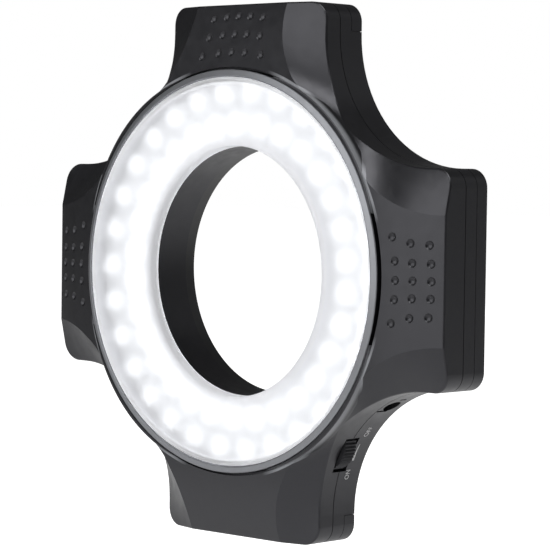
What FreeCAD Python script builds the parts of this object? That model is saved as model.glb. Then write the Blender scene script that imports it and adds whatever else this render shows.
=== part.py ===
import FreeCAD, Part
import math
import os

# Battery-powered LED ring light for close-up photography, in millimetres.
# Everything is modelled with Y = 0 at the diffuser's front plane and Y growing towards the rear,
# and is moved at the end so that the origin lies at the centre of the lens bore's rear rim.
# X runs to the right seen from the front, Z runs up. The four lobes are alike, a quarter turn apart.

V = FreeCAD.Vector
REARWARD = V(0, 1, 0)

# Plan outline
LOBE_REACH = 86.6            # centre to the end of a lobe
LOBE_HALF_WIDTH = 34.3
LOBE_CORNER_R = 6.0
NECK_ARC_R = 42.7            # concave sweep between two lobes
NECK_CENTRE = LOBE_HALF_WIDTH + NECK_ARC_R

# Depths behind the front plane
BODY_DEPTH = 27.5
PARTING_DEPTH = 17.2
PARTING_GROOVE = 0.3         # width and depth of the shadow line between the shells
WALL = 2.0
SKIN = 2.2                   # front skin, measured along Y

# Sculpted front of a lobe: a crowned middle band and a sloping facet on each side of it
CROWN_R = 83.0
CROWN_START = 55.0           # distance from the centre where the crown starts to fall back
CROWN_DEPTH = 1.5
CREASE_ARC_R = 38.8
CREASE_CENTRE_ALONG = 86.0
CREASE_CENTRE_ACROSS = 58.8
FACET_EDGE_DEPTH = 10.7      # front edge of the side walls along the lobes
FACET_EDGE_RISE = 4.5        # how much nearer the front that edge comes at the neck
FACET_EDGE_POWER = 2.5
FACET_OVERRUN = 2.0          # the cutting surface runs this far past crease and wall
FACET_LEAD = 0.11            # crease ahead of the wall point, mm per degree of neck arc
FACET_STATIONS = (0, 9, 18, 27)
NECK_STATIONS = (35.5, 39, 42)
EDGE_FILLET_R = 0.8

# Dimples on the bands of three lobes
DIMPLE_R = 1.4
DIMPLE_DEPTH = 0.7
DIMPLE_ROWS = ((82.6, 5.3, 11.0), (76.7, 5.4, 11.4), (70.9, 5.9, 13.2))

# Light opening: bezel, diffuser and lamps
OPENING_R = 65.5
BEZEL_OUTER_R = 65.25
BEZEL_INNER_R = 63.0
BEZEL_SLOPE_DEPTH = 1.0      # how far its front falls back towards its outer edge
BEZEL_EDGE_R = 0.35
SEAT_DEPTH = 5.5             # ledge on which bezel and diffuser sit
SEAT_THICKNESS = 1.5
SEAT_INNER_R = 61.5
COLLAR_WALL = 1.7
FOOT_GROOVE_R = 66.15        # shadow groove between the bezel and the shell's raised bands
FOOT_GROOVE_DEPTH = 3.6
LIP_OUTER_R = 66.9           # raised crescent that follows the bezel across each neck
LIP_SHIFT = 9.0              # how far its outer circle is off centre, towards the neck
LIP_FRONT_DEPTH = 0.9
LIP_ROUNDING = 0.45
LIP_HALF_ANGLE = 27.0
DIFFUSER_CLEARANCE = 0.1
DIFFUSER_WALL = 1.5
DIFFUSER_ROUNDING = 5.0
DIFFUSER_OUTER_ROUNDING = 1.2
DIFFUSER_INNER_DEPTH = 10.5
BOARD_OUTER_R = 63.0
BOARD_INNER_R = 43.3
BOARD_THICKNESS = 1.6
LAMPS_PER_ROW = 30
OUTER_ROW_R = 58.4
INNER_ROW_R = 48.4
LAMP_SIDE = 5.0
LAMP_HEIGHT = 1.4
LAMP_DOME_R = 2.1
LAMP_DOME_HEIGHT = 0.7

# Lens bore and its threaded ring
BORE_R = 40.7
BORE_TUBE_WALL = 2.0
TUBE_FRONT_GAP = 0.1
RING_OUTER_R = 46.0
RING_THICKNESS = 4.0
RING_CLEARANCE = 0.1
RING_SCREW_CIRCLE_R = 43.5
RING_BOSS_R = 2.2
RING_BOSS_LENGTH = 3.2
RING_SCREW_ANGLE = 22.5

# Screws: shank radius, head radius, head height
SMALL_SCREW = (1.0, 1.9, 1.2)
SHELL_SCREW = (1.25, 2.4, 1.6)
SCREW_CLEARANCE = 0.05
PASSAGE_CLEARANCE = 0.15     # round screws that pass freely
SOCKET_R = 0.75
SOCKET_DEPTH = 0.7
POST_R = 2.5
POST_CIRCLE_R = 53.4
POST_ANGLE = 21.0
POST_SCREW_LENGTH = 7.0
RING_SCREW_LENGTH = 5.0
BOSS_R = 3.2
BOSS_CIRCLE_R = 60.8
BOSS_TOP_DEPTH = 9.0
BOSS_RIB = 4.0
SHELL_SCREW_LENGTH = 13.0
SHELL_HEAD_DEPTH = 3.0

# Battery bays, one per lobe, two AA cells lying across each lobe
CELL_R = 7.1
CELL_LENGTH = 49.5
CELL_NUB_R = 2.7
CELL_NUB = 1.0
CELL_PITCH = 15.0
CELL_CLEARANCE = 0.15
CELL_DEPTH = 17.75           # depth of the cells' axes
CELL_EDGE_R = 0.5
TRAY_WALL = 1.0
TRAY_END_WALL = 0.8
TRAY_LENGTH = 54.0           # inside, along the cells
TRAY_FLOOR_HALF = 19.5
TRAY_FLOOR = 0.7
TRAY_SIDE_DEPTH = 12.4       # front edge of the tray's walls
TERMINAL_WALL_DEPTH = 10.6   # front edge of the wall at the terminals
TRAY_SEAT_GAP = 0.1
TRAY_TOP_GAP = 0.2
TRAY_SHIFT = 0.2             # gap between the tray's far end and the shell's side wall
CONTACT_THICKNESS = 0.3
CONTACT_HALF = 4.6
SPRING_WIRE_R = 0.3
SPRING_TURNS = 2
SPRING_PITCH = 1.1
SPRING_BIG_R = 3.4
SPRING_SMALL_R = 2.0
SPRING_SEAT_GAP = 0.05

# Sliding battery doors
DOOR_FRONT_DEPTH = 22.5
DOOR_SKIRT_START = 77.8
DOOR_HALF_WIDTH = 31.2
DOOR_INNER_END = 54.2
DOOR_PLATE = 2.0
DOOR_GAP = 0.2
TONGUE_REACH = 1.4
TONGUE_THICKNESS = 0.9
TONGUE_GAP = 0.1
DOOR_LIP = 2.0
DOOR_STOP = (32.4, 33.9)      # ribs that close the seam at both sides, across the lobe
DOOR_STOP_GAP = 0.05
GRIP_COUNT = 5
GRIP_PITCH = 2.2
GRIP_WIDTH = 1.0
GRIP_HALF_LENGTH = 11.0
GRIP_DEPTH = 0.5
GRIP_START = 72.0
ARROW_TIP = 69.0
ARROW_SIZE = 5.0

# Dimmer wheel in the lower right neck
WHEEL_R = 8.9
WHEEL_PROUD = 1.75
WHEEL_SLOT_ANGLE = 27.8      # direction from the neck's centre, above the horizontal
WHEEL_FRONT_DEPTH = 14.6
WHEEL_THICKNESS = 5.0
WHEEL_TEETH = 48
WHEEL_TOOTH_DEPTH = 0.45
WHEEL_RIM = 2.0
WHEEL_WEB = 1.6
WHEEL_HUB_R = 3.2
SLOT_LENGTH = 12.7
SLOT_MARGIN = 0.7
WHEEL_CLEARANCE = 0.4
SLOT_REAR_MARGIN = 0.6
SPINDLE_R = 1.5
SPINDLE_RUNNING_GAP = 0.05
SPINDLE_INSET = 0.4
POT_R = 5.0
POT_WHEEL_GAP = 0.4

# Circuit board behind the lower right neck
DRIVER_FRONT_DEPTH = 23.0
DRIVER_THICKNESS = 1.6
DRIVER_EDGE_GAP = 0.7
DRIVER_LEFT = 24.2
DRIVER_TOP = -27.0
DRIVER_REACH = 58.0          # how far the board runs into the two lobes beside it
INDUCTOR_AT = (37.0, -37.0)
INDUCTOR_R = 3.0
INDUCTOR_HEIGHT = 3.2
CAPACITOR_AT = (39.9, -32.0)
CAPACITOR_R = 2.0
CAPACITOR_HEIGHT = 5.0
CHIP_PLACES = ((29.5, -45.0, 5.0, 4.0), (39.2, -47.3, 3.0, 3.0))
CHIP_HEIGHT = 1.4
DRIVER_SCREWS_AT = ((26.8, -49.0), (42.4, -36.4))
DRIVER_PAD_R = 2.2
DRIVER_SCREW_LENGTH = 3.4
PILOT_FLOOR = 0.7

# DC inlet in the lower right neck
JACK_ANGLE = 58.0            # direction from the neck's centre, above the horizontal
JACK_DEPTH = 21.8
JACK_BORE_R = 2.85
JACK_BORE_LENGTH = 9.0
JACK_MOUTH_R = 3.0
JACK_WIDTH = 8.6
JACK_HEIGHT = 7.2
JACK_LENGTH = 11.0
JACK_SETBACK = 2.3
JACK_PIN_R = 1.0
JACK_PIN_LENGTH = 8.0
INLET_RECESSES = ((53.9, 20.0, 4.8), (64.3, 22.5, 3.0))  # angle, depth and length of two narrow recesses
RECESS_DEPTH = 1.2
RECESS_WIDTH = 0.8

# Leads
LEAD_R = 0.6
LEAD_DEPTHS = (11.6, 13.3)   # at the inner and the outer cell's terminal
STUB_HEIGHT = 1.0
STUB_WIDTH = 2.0
STUB_PROUD = 0.6
LEAD_RING_R = 46.0
LAMP_LEADS_AT = ((30.6, -41.3), (33.4, -39.7))
LEAD_ARC_SHARE = 0.45
lead_radii = []

LOBES = ("top", "right", "bottom", "left")
MIRRORED_BAYS = ("bottom", "left")
DIMPLED_LOBES = ("top", "right", "left")

BEYOND = 60.0                # longer than anything that a cut has to pass


def turned(shape, degrees):
    copy = shape.copy()
    copy.rotate(V(0, 0, 0), REARWARD, degrees)
    return copy


def on_lobe(shape, lobe):
    """Turns a shape made for the top lobe to the named lobe."""
    return turned(shape, 90 * LOBES.index(lobe))


def mirrored(shape):
    return shape.mirror(V(0, 0, 0), V(1, 0, 0))


def box(x0, x1, y0, y1, z0, z1):
    return Part.makeBox(x1 - x0, y1 - y0, z1 - z0, V(x0, y0, z0))


def rod(radius, y0, y1, x=0.0, z=0.0):
    """A cylinder along Y."""
    return Part.makeCylinder(radius, y1 - y0, V(x, y0, z), REARWARD)


def tube(outer, inner, y0, y1, x=0.0, z=0.0):
    return rod(outer, y0, y1, x, z).cut(rod(inner, y0 - 1, y1 + 1, x, z))


def polar(radius, degrees):
    """X and Z of a point at an angle above the +X axis."""
    return radius * math.cos(math.radians(degrees)), radius * math.sin(math.radians(degrees))


def revolved(points):
    """A solid turned about Y from (radius, depth) points; a point with a third value is rounded by it."""
    corners = [V(p[0], p[1], 0) for p in points]
    rounding = [p[2] if len(p) > 2 else 0 for p in points]
    edges = rounded_edges(corners, rounding)
    face = Part.Face(Part.Wire(edges))
    return face.revolve(V(0, 0, 0), REARWARD, 360)


def rounded_edges(corners, rounding):
    """Closed run of straight edges with an arc at each corner that has a radius."""
    count = len(corners)
    cuts = []
    for i, corner in enumerate(corners):
        back = (corners[i - 1] - corner).normalize()
        ahead = (corners[(i + 1) % count] - corner).normalize()
        half = back.getAngle(ahead) / 2
        reach = rounding[i] / math.tan(half)
        middle = (back + ahead).normalize() * (rounding[i] / math.sin(half) - rounding[i])
        cuts.append((corner + back * reach, corner + middle, corner + ahead * reach))
    edges = []
    for i, (start, middle, end) in enumerate(cuts):
        if rounding[i]:
            edges.append(Part.Arc(start, middle, end).toShape())
        following = cuts[(i + 1) % count][0]
        if (following - end).Length > 1e-6:
            edges.append(Part.LineSegment(end, following).toShape())
    return edges


def outline_face(inset):
    """The four-lobed plan, drawn in by inset, as a face at depth 0."""
    half = LOBE_HALF_WIDTH - inset
    reach = LOBE_REACH - inset
    corner = max(LOBE_CORNER_R - inset, 0.5)
    bulge = (NECK_ARC_R + inset) / math.sqrt(2)
    edges = []
    for quarter in range(4):
        turn = FreeCAD.Rotation(REARWARD, 90 * quarter)

        def at(x, z):
            return turn.multVec(V(x, 0, z))

        slant = corner * (1 - 1 / math.sqrt(2))
        left_end = at(-half + corner, reach)
        right_end = at(half - corner, reach)
        edges.append(Part.LineSegment(left_end, right_end).toShape())
        edges.append(Part.Arc(right_end, at(half - slant, reach - slant), at(half, reach - corner)).toShape())
        edges.append(Part.LineSegment(at(half, reach - corner), at(half, NECK_CENTRE)).toShape())
        middle = at(NECK_CENTRE - bulge, NECK_CENTRE - bulge)
        edges.append(Part.Arc(at(half, NECK_CENTRE), middle, at(NECK_CENTRE, half)).toShape())
        edges.append(Part.LineSegment(at(NECK_CENTRE, half), at(reach - corner, half)).toShape())
        corner_middle = at(reach - slant, half - slant)
        edges.append(Part.Arc(at(reach - corner, half), corner_middle, at(reach, half - corner)).toShape())
    return Part.Face(Part.Wire(edges))


def plan_block(inset, y0, y1):
    block = outline_face(inset).extrude(V(0, y1 - y0, 0))
    block.translate(V(0, y0, 0))
    return block


def crown_depth(along):
    """Depth of a lobe's middle band at a distance from the centre."""
    past = max(along - CROWN_START, 0)
    return CROWN_DEPTH + CROWN_R - math.sqrt(CROWN_R ** 2 - past ** 2)


def crease_at(along):
    """The crease's distance from the lobe's middle line."""
    return CREASE_CENTRE_ACROSS - math.sqrt(CREASE_ARC_R ** 2 - (along - CREASE_CENTRE_ALONG) ** 2)


def facet_station(arc_degrees):
    """Crease point and wall point of one ruling, at an angle along the neck's arc, on the top lobe."""
    angle = math.radians(arc_degrees)
    wall_along = NECK_CENTRE - NECK_ARC_R * math.sin(angle)
    wall_across = NECK_CENTRE - NECK_ARC_R * math.cos(angle)
    wall_depth = FACET_EDGE_DEPTH - FACET_EDGE_RISE * (arc_degrees / 45) ** FACET_EDGE_POWER
    along = wall_along + FACET_LEAD * arc_degrees
    return V(crease_at(along), crown_depth(along), along), V(wall_across, wall_depth, wall_along)


def straight_station(along):
    return V(crease_at(along), crown_depth(along), along), V(LOBE_HALF_WIDTH, FACET_EDGE_DEPTH, along)


def neck_station(arc_degrees):
    """Past the crease's end the facet starts at the rim of the light opening."""
    share = (arc_degrees - NECK_STATIONS[0]) / (45 - NECK_STATIONS[0])
    start_angle = 33.5
    across, along = polar(OPENING_R + 0.5 - 0.4 * share, 90 - start_angle - (45 - start_angle) * share)
    wall = facet_station(arc_degrees)[1]
    return V(across, crown_depth(along), along), wall


def facet_cutter():
    """Everything in front of the facets round the upper right neck, from one lobe's end to the next's."""
    pairs = [straight_station(LOBE_REACH + 4), straight_station((LOBE_REACH + NECK_CENTRE) / 2)]
    pairs += [facet_station(degrees) for degrees in FACET_STATIONS]
    pairs += [neck_station(degrees) for degrees in NECK_STATIONS]
    half_way = neck_station(45)
    swap = [(V(c.z, c.y, c.x), V(w.z, w.y, w.x)) for c, w in reversed(pairs)]
    pairs = pairs + [half_way] + swap
    inner = []
    outer = []
    for crease, wall in pairs:
        ruling = (wall - crease).normalize() * FACET_OVERRUN
        inner.append(crease - ruling)
        outer.append(wall + ruling)
    steps = [0.0]
    for (_, wall), (_, following) in zip(pairs, pairs[1:]):
        steps.append(steps[-1] + (following - wall).Length)
    curves = []
    for points in (inner, outer):
        curve = Part.BSplineCurve()
        curve.interpolate(Points=points, Parameters=steps)
        curves.append(curve.toShape())
    sheet = Part.makeRuledSurface(curves[0], curves[1])
    return sheet.extrude(V(0, -BEYOND, 0))


def crown_cutter():
    """Everything in front of the top lobe's crowned band."""
    axis_depth = CROWN_DEPTH + CROWN_R
    block = box(-BEYOND, BEYOND, -BEYOND, axis_depth, CROWN_START, CROWN_START + CROWN_R)
    barrel = Part.makeCylinder(CROWN_R, 4 * BEYOND, V(-2 * BEYOND, axis_depth, CROWN_START), V(1, 0, 0))
    return block.cut(barrel)


def sculpted(block, lowered):
    """Cuts a block of the plan to the front surface, lowered by a depth."""
    crown = crown_cutter()
    facet = facet_cutter()
    for cutter in (crown, facet):
        cutter.translate(V(0, lowered, 0))
    for quarter in range(4):
        block = block.cut(turned(crown, 90 * quarter))
    for quarter in range(4):
        block = block.cut(turned(facet, 90 * quarter))
    return block


def wall_front_edges(form):
    """The edges where the sculpted front meets the side walls."""
    rim = outline_face(0).OuterWire
    found = []
    for edge in form.Edges:
        middle = edge.valueAt((edge.FirstParameter + edge.LastParameter) / 2)
        depths = [vertex.Point.y for vertex in edge.Vertexes] + [middle.y]
        if max(depths) > PARTING_DEPTH or min(depths) < SEAT_DEPTH:
            continue
        if Part.Vertex(V(middle.x, 0, middle.z)).distToShape(rim)[0] < 0.01:
            found.append(edge)
    return found


def outer_form():
    form = sculpted(plan_block(0, CROWN_DEPTH, BODY_DEPTH), 0)
    return form.makeFillet(EDGE_FILLET_R, wall_front_edges(form))


def hollow_form():
    return sculpted(plan_block(WALL, CROWN_DEPTH, BODY_DEPTH - WALL), SKIN)


def parting_groove():
    y0 = PARTING_DEPTH - PARTING_GROOVE / 2
    y1 = PARTING_DEPTH + PARTING_GROOVE / 2
    return plan_block(-1, y0, y1).cut(plan_block(PARTING_GROOVE, y0, y1))


def slab(y0, y1):
    """All of the plan between two depths."""
    return box(-2 * BEYOND, 2 * BEYOND, y0, y1, -2 * BEYOND, 2 * BEYOND)


def fused(first, *others):
    for other in others:
        first = first.fuse(other)
    return first


def dimple_cutter(lobe):
    """Shallow round hollows in three bowed rows."""
    ball_r = (DIMPLE_R ** 2 + DIMPLE_DEPTH ** 2) / (2 * DIMPLE_DEPTH)
    balls = []
    for ring_r, near, far in DIMPLE_ROWS:
        for across in (-far, -near, 0, near, far):
            along = math.sqrt(ring_r ** 2 - across ** 2)
            slope = math.asin((along - CROWN_START) / CROWN_R)
            out = V(0, -math.cos(slope), math.sin(slope)) * (ball_r - DIMPLE_DEPTH)
            balls.append(Part.makeSphere(ball_r, V(across, crown_depth(along), along) + out))
    return on_lobe(Part.makeCompound(balls), lobe)


def neck_frame(degrees):
    """Wall point and inward direction in the lower right neck, at an angle seen from the neck's centre."""
    angle = math.radians(degrees)
    inward = V(-math.cos(angle), 0, math.sin(angle))
    return V(NECK_CENTRE, 0, -NECK_CENTRE) + inward * NECK_ARC_R, inward


def neck_block(degrees, start, length, width, y0, y1):
    """A block square to the neck's wall: start and length count inwards from the wall's outer face."""
    point, inward = neck_frame(degrees)
    block = box(-width / 2, width / 2, y0, y1, 0, length)
    block.rotate(V(0, 0, 0), REARWARD, math.degrees(math.atan2(inward.x, inward.z)))
    block.translate(point + inward * start)
    return block


def wheel_centre():
    point, inward = neck_frame(WHEEL_SLOT_ANGLE)
    return point + inward * (WHEEL_R - WHEEL_PROUD)


def wheel_slot():
    """Opening in the wall through which the wheel shows, and the wheel's room inside it."""
    y0 = WHEEL_FRONT_DEPTH - SLOT_MARGIN
    y1 = WHEEL_FRONT_DEPTH + WHEEL_THICKNESS + SLOT_REAR_MARGIN
    centre = wheel_centre()
    opening = neck_block(WHEEL_SLOT_ANGLE, -WALL, 3 * WALL, SLOT_LENGTH, y0, y1)
    return opening.fuse(rod(WHEEL_R + WHEEL_CLEARANCE, y0, y1, centre.x, centre.z))


def boss_centres():
    return [polar(BOSS_CIRCLE_R, 45 + 90 * quarter) for quarter in range(4)]


def post_centres():
    return [polar(POST_CIRCLE_R, POST_ANGLE + 90 * quarter) for quarter in range(4)]


def ring_screw_centres():
    return [polar(RING_SCREW_CIRCLE_R, RING_SCREW_ANGLE + 90 * quarter) for quarter in range(4)]


def boss_rib(x, z, y0, y1):
    """Ties a screw boss to the neck's wall."""
    neck_r = math.sqrt(2) * NECK_CENTRE - NECK_ARC_R
    rib = box(-BOSS_RIB / 2, BOSS_RIB / 2, y0, y1, 0, neck_r - WALL / 2 - BOSS_CIRCLE_R)
    rib.rotate(V(0, 0, 0), REARWARD, math.degrees(math.atan2(x, z)))
    rib.translate(V(x, 0, z))
    return rib


def screw(size, length, seat, forwards, x, z):
    """A cap screw along Y with its head's underside at seat; the shank runs forwards or rearwards."""
    shank_r, head_r, head_height = size
    if forwards:
        shank = rod(shank_r, seat - length, seat, x, z)
        head = rod(head_r, seat, seat + head_height, x, z)
        socket = rod(SOCKET_R, seat + head_height - SOCKET_DEPTH, seat + head_height, x, z)
    else:
        shank = rod(shank_r, seat, seat + length, x, z)
        head = rod(head_r, seat - head_height, seat, x, z)
        socket = rod(SOCKET_R, seat - head_height, seat - head_height + SOCKET_DEPTH, x, z)
    return shank.fuse(head).cut(socket)


# Shells

def opening_lips():
    """Four raised crescents around the bezel, one across each neck, thin towards the lobes."""
    outer = LIP_OUTER_R - LIP_SHIFT
    disc = revolved([(LIP_SHIFT, LIP_FRONT_DEPTH), (outer, LIP_FRONT_DEPTH, LIP_ROUNDING),
                     (outer, SEAT_DEPTH), (LIP_SHIFT, SEAT_DEPTH)])
    x, z = polar(LIP_SHIFT, 45)
    disc.translate(V(x, 0, z))
    corners = [V(0, 0, 0)]
    for side in (-1, 1):
        x, z = polar(2 * LIP_OUTER_R, 45 + side * LIP_HALF_ANGLE)
        corners.append(V(x, 0, z))
    sector = Part.Face(Part.makePolygon(corners + corners[:1])).extrude(V(0, SEAT_DEPTH, 0))
    lip = disc.cut(rod(OPENING_R, 0, SEAT_DEPTH)).common(sector)
    return [turned(lip, 90 * quarter) for quarter in range(4)]


def front_shell(form, hollow):
    seat_end = SEAT_DEPTH + SEAT_THICKNESS
    collar_r = OPENING_R + COLLAR_WALL
    shell = form.common(slab(0, PARTING_DEPTH)).cut(hollow).cut(rod(OPENING_R, 0, SEAT_DEPTH))
    seat = tube(collar_r, SEAT_INNER_R, SEAT_DEPTH, seat_end)
    collar = tube(collar_r, OPENING_R, 0, seat_end)
    shell = shell.fuse(seat.fuse(collar).common(form))
    for x, z in boss_centres():
        shell = fused(shell, rod(BOSS_R, BOSS_TOP_DEPTH, PARTING_DEPTH, x, z),
                      boss_rib(x, z, BOSS_TOP_DEPTH, PARTING_DEPTH))
    pilot_start = BODY_DEPTH - SHELL_HEAD_DEPTH - SHELL_SCREW_LENGTH - 1
    for x, z in boss_centres():
        shell = shell.cut(rod(SHELL_SCREW[0] + SCREW_CLEARANCE, pilot_start, PARTING_DEPTH, x, z))
    for lobe in DIMPLED_LOBES:
        shell = shell.cut(dimple_cutter(lobe))
    shell = fused(shell.cut(rod(FOOT_GROOVE_R, 0, FOOT_GROOVE_DEPTH)), *opening_lips())
    return shell.cut(wheel_slot()).cut(parting_groove()).removeSplitter()


def door_space():
    """What a door of the top lobe, its grooves and its way out take from the rear shell."""
    opening_half = DOOR_HALF_WIDTH + DOOR_GAP
    groove_half = DOOR_HALF_WIDTH + TONGUE_REACH + TONGUE_GAP
    inner_face = BODY_DEPTH - WALL
    opening = box(-opening_half, opening_half, inner_face - 1, BODY_DEPTH + 1,
                  DOOR_INNER_END - DOOR_GAP, LOBE_REACH + 1)
    grooves = box(-groove_half, groove_half, inner_face, inner_face + TONGUE_THICKNESS + TONGUE_GAP,
                  DOOR_INNER_END - DOOR_GAP, LOBE_REACH + 1)
    end_half = LOBE_HALF_WIDTH + 1
    end = box(-end_half, end_half, DOOR_FRONT_DEPTH, BODY_DEPTH + 1,
              DOOR_SKIRT_START - DOOR_GAP, LOBE_REACH + 1)
    return fused(opening, grooves, end)


def inlet_axis():
    point, inward = neck_frame(JACK_ANGLE)
    return V(point.x, JACK_DEPTH, point.z), inward


def inlet_hole(radius, start, length):
    point, inward = inlet_axis()
    return Part.makeCylinder(radius, length, point + inward * start, inward)


def rear_shell(form, hollow):
    inner_face = BODY_DEPTH - WALL
    seat = BODY_DEPTH - RING_THICKNESS
    ring_wall = seat - WALL
    tube_front = DIFFUSER_INNER_DEPTH + TUBE_FRONT_GAP
    shell = form.common(slab(PARTING_DEPTH, BODY_DEPTH)).cut(hollow)
    shell = shell.cut(rod(RING_OUTER_R + RING_CLEARANCE, 0, BODY_DEPTH))
    bore_tube = tube(BORE_R + BORE_TUBE_WALL, BORE_R, tube_front, seat)
    ring_floor = tube(RING_OUTER_R + WALL, BORE_R, ring_wall, seat)
    ring_side = tube(RING_OUTER_R + WALL, RING_OUTER_R + RING_CLEARANCE, ring_wall, inner_face)
    shell = fused(shell, bore_tube, ring_floor, ring_side)
    board_rear = SEAT_DEPTH + SEAT_THICKNESS + BOARD_THICKNESS
    for x, z in post_centres():
        shell = shell.fuse(rod(POST_R, board_rear, inner_face, x, z))
    for x, z in boss_centres():
        shell = fused(shell, rod(BOSS_R, PARTING_DEPTH, inner_face, x, z),
                      boss_rib(x, z, PARTING_DEPTH, inner_face))
    for x, z in ring_screw_centres():
        shell = shell.fuse(rod(RING_BOSS_R, seat - RING_BOSS_LENGTH, seat, x, z))
    board_back = DRIVER_FRONT_DEPTH + DRIVER_THICKNESS
    for x, z in DRIVER_SCREWS_AT:
        shell = shell.fuse(rod(DRIVER_PAD_R, board_back, inner_face, x, z))
    pilot_r = SMALL_SCREW[0] + SCREW_CLEARANCE
    holes = [rod(pilot_r, board_rear, board_rear + POST_SCREW_LENGTH, x, z) for x, z in post_centres()]
    holes += [rod(pilot_r, seat - RING_BOSS_LENGTH, seat, x, z) for x, z in ring_screw_centres()]
    holes += [rod(pilot_r, board_back, BODY_DEPTH - PILOT_FLOOR, x, z) for x, z in DRIVER_SCREWS_AT]
    head_seat = BODY_DEPTH - SHELL_HEAD_DEPTH
    for x, z in boss_centres():
        holes.append(rod(SHELL_SCREW[0] + PASSAGE_CLEARANCE, PARTING_DEPTH, BODY_DEPTH, x, z))
        holes.append(rod(SHELL_SCREW[1] + PASSAGE_CLEARANCE, head_seat, BODY_DEPTH, x, z))
    for hole in holes:
        shell = shell.cut(hole)
    for lobe in LOBES:
        shell = shell.cut(on_lobe(door_space(), lobe))
    shell = shell.cut(inlet_hole(JACK_MOUTH_R, -WALL, JACK_SETBACK + WALL))
    for degrees, depth, length in INLET_RECESSES:
        shell = shell.cut(neck_block(degrees, -WALL, WALL + RECESS_DEPTH, RECESS_WIDTH,
                                     depth - length / 2, depth + length / 2))
    return shell.cut(wheel_slot()).cut(parting_groove()).removeSplitter()


# Light unit

def bezel_ring():
    """The trim ring round the diffuser, with a front that slopes back outwards."""
    return revolved([(BEZEL_INNER_R, 0, BEZEL_EDGE_R), (BEZEL_OUTER_R, BEZEL_SLOPE_DEPTH, BEZEL_EDGE_R),
                     (BEZEL_OUTER_R, SEAT_DEPTH), (BEZEL_INNER_R, SEAT_DEPTH)])


def diffuser():
    """A thin ring cover: short outer skirt, flat face, well rounded inner edge and a deep inner wall."""
    outer = BEZEL_INNER_R - DIFFUSER_CLEARANCE
    inner = BORE_R
    wall = DIFFUSER_WALL
    return revolved([(outer, 0, DIFFUSER_OUTER_ROUNDING), (outer, SEAT_DEPTH), (outer - wall, SEAT_DEPTH),
                     (outer - wall, wall), (inner + wall, wall, DIFFUSER_ROUNDING - wall),
                     (inner + wall, DIFFUSER_INNER_DEPTH), (inner, DIFFUSER_INNER_DEPTH),
                     (inner, 0, DIFFUSER_ROUNDING)])


def lamp_board():
    front = SEAT_DEPTH + SEAT_THICKNESS
    board = tube(BOARD_OUTER_R, BOARD_INNER_R, front, front + BOARD_THICKNESS)
    for x, z in post_centres():
        board = board.cut(rod(SMALL_SCREW[0] + SCREW_CLEARANCE, front - 1, front + BOARD_THICKNESS + 1, x, z))
    return board


def lamp():
    """One lamp on the board's front, at the origin: a square package with a low round lens."""
    base = SEAT_DEPTH + SEAT_THICKNESS
    half = LAMP_SIDE / 2
    package = box(-half, half, base - LAMP_HEIGHT, base, -half, half)
    lens = rod(LAMP_DOME_R, base - LAMP_HEIGHT - LAMP_DOME_HEIGHT, base - LAMP_HEIGHT)
    return package.fuse(lens)


def lamp_row(radius, first_angle):
    lamps = []
    for i in range(LAMPS_PER_ROW):
        degrees = first_angle + 360 * i / LAMPS_PER_ROW
        one = lamp()
        one.translate(V(radius, 0, 0))
        lamps.append(turned(one, -degrees))
    return Part.makeCompound(lamps)


# Lens ring

def lens_ring():
    seat = BODY_DEPTH - RING_THICKNESS
    ring = tube(RING_OUTER_R, BORE_R, seat, BODY_DEPTH)
    for x, z in ring_screw_centres():
        ring = ring.cut(rod(SMALL_SCREW[0] + SCREW_CLEARANCE, seat, BODY_DEPTH, x, z))
        ring = ring.cut(rod(SMALL_SCREW[1] + PASSAGE_CLEARANCE, ring_head_seat(), BODY_DEPTH, x, z))
    return ring


def ring_head_seat():
    return BODY_DEPTH - SMALL_SCREW[2] - SCREW_CLEARANCE


# Battery bays, drawn for the top lobe

def bay_ends():
    """X of the inside faces of a tray's far end and terminal end."""
    far = -(LOBE_HALF_WIDTH - WALL - TRAY_SHIFT - TRAY_END_WALL)
    return far, far + TRAY_LENGTH


def cell_rows():
    """Distance from the centre of the inner and the outer cell."""
    outer = LOBE_REACH - WALL - TRAY_SEAT_GAP - TRAY_WALL - CELL_CLEARANCE - CELL_R
    return outer - CELL_PITCH, outer


def tray_span():
    """Inside faces of a tray's inner and outer walls."""
    inner_row, outer_row = cell_rows()
    return inner_row - CELL_R - CELL_CLEARANCE, outer_row + CELL_R + CELL_CLEARANCE


def terminal_stub(row_index, x0, x1, grown=0.0):
    """The tab of a terminal that passes through the tray's end wall and takes a lead."""
    row = cell_rows()[row_index]
    depth = LEAD_DEPTHS[row_index]
    half_height = STUB_HEIGHT / 2 + grown
    half_width = STUB_WIDTH / 2 + grown
    return box(x0, x1, depth - half_height, depth + half_height, row - half_width, row + half_width)


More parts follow.
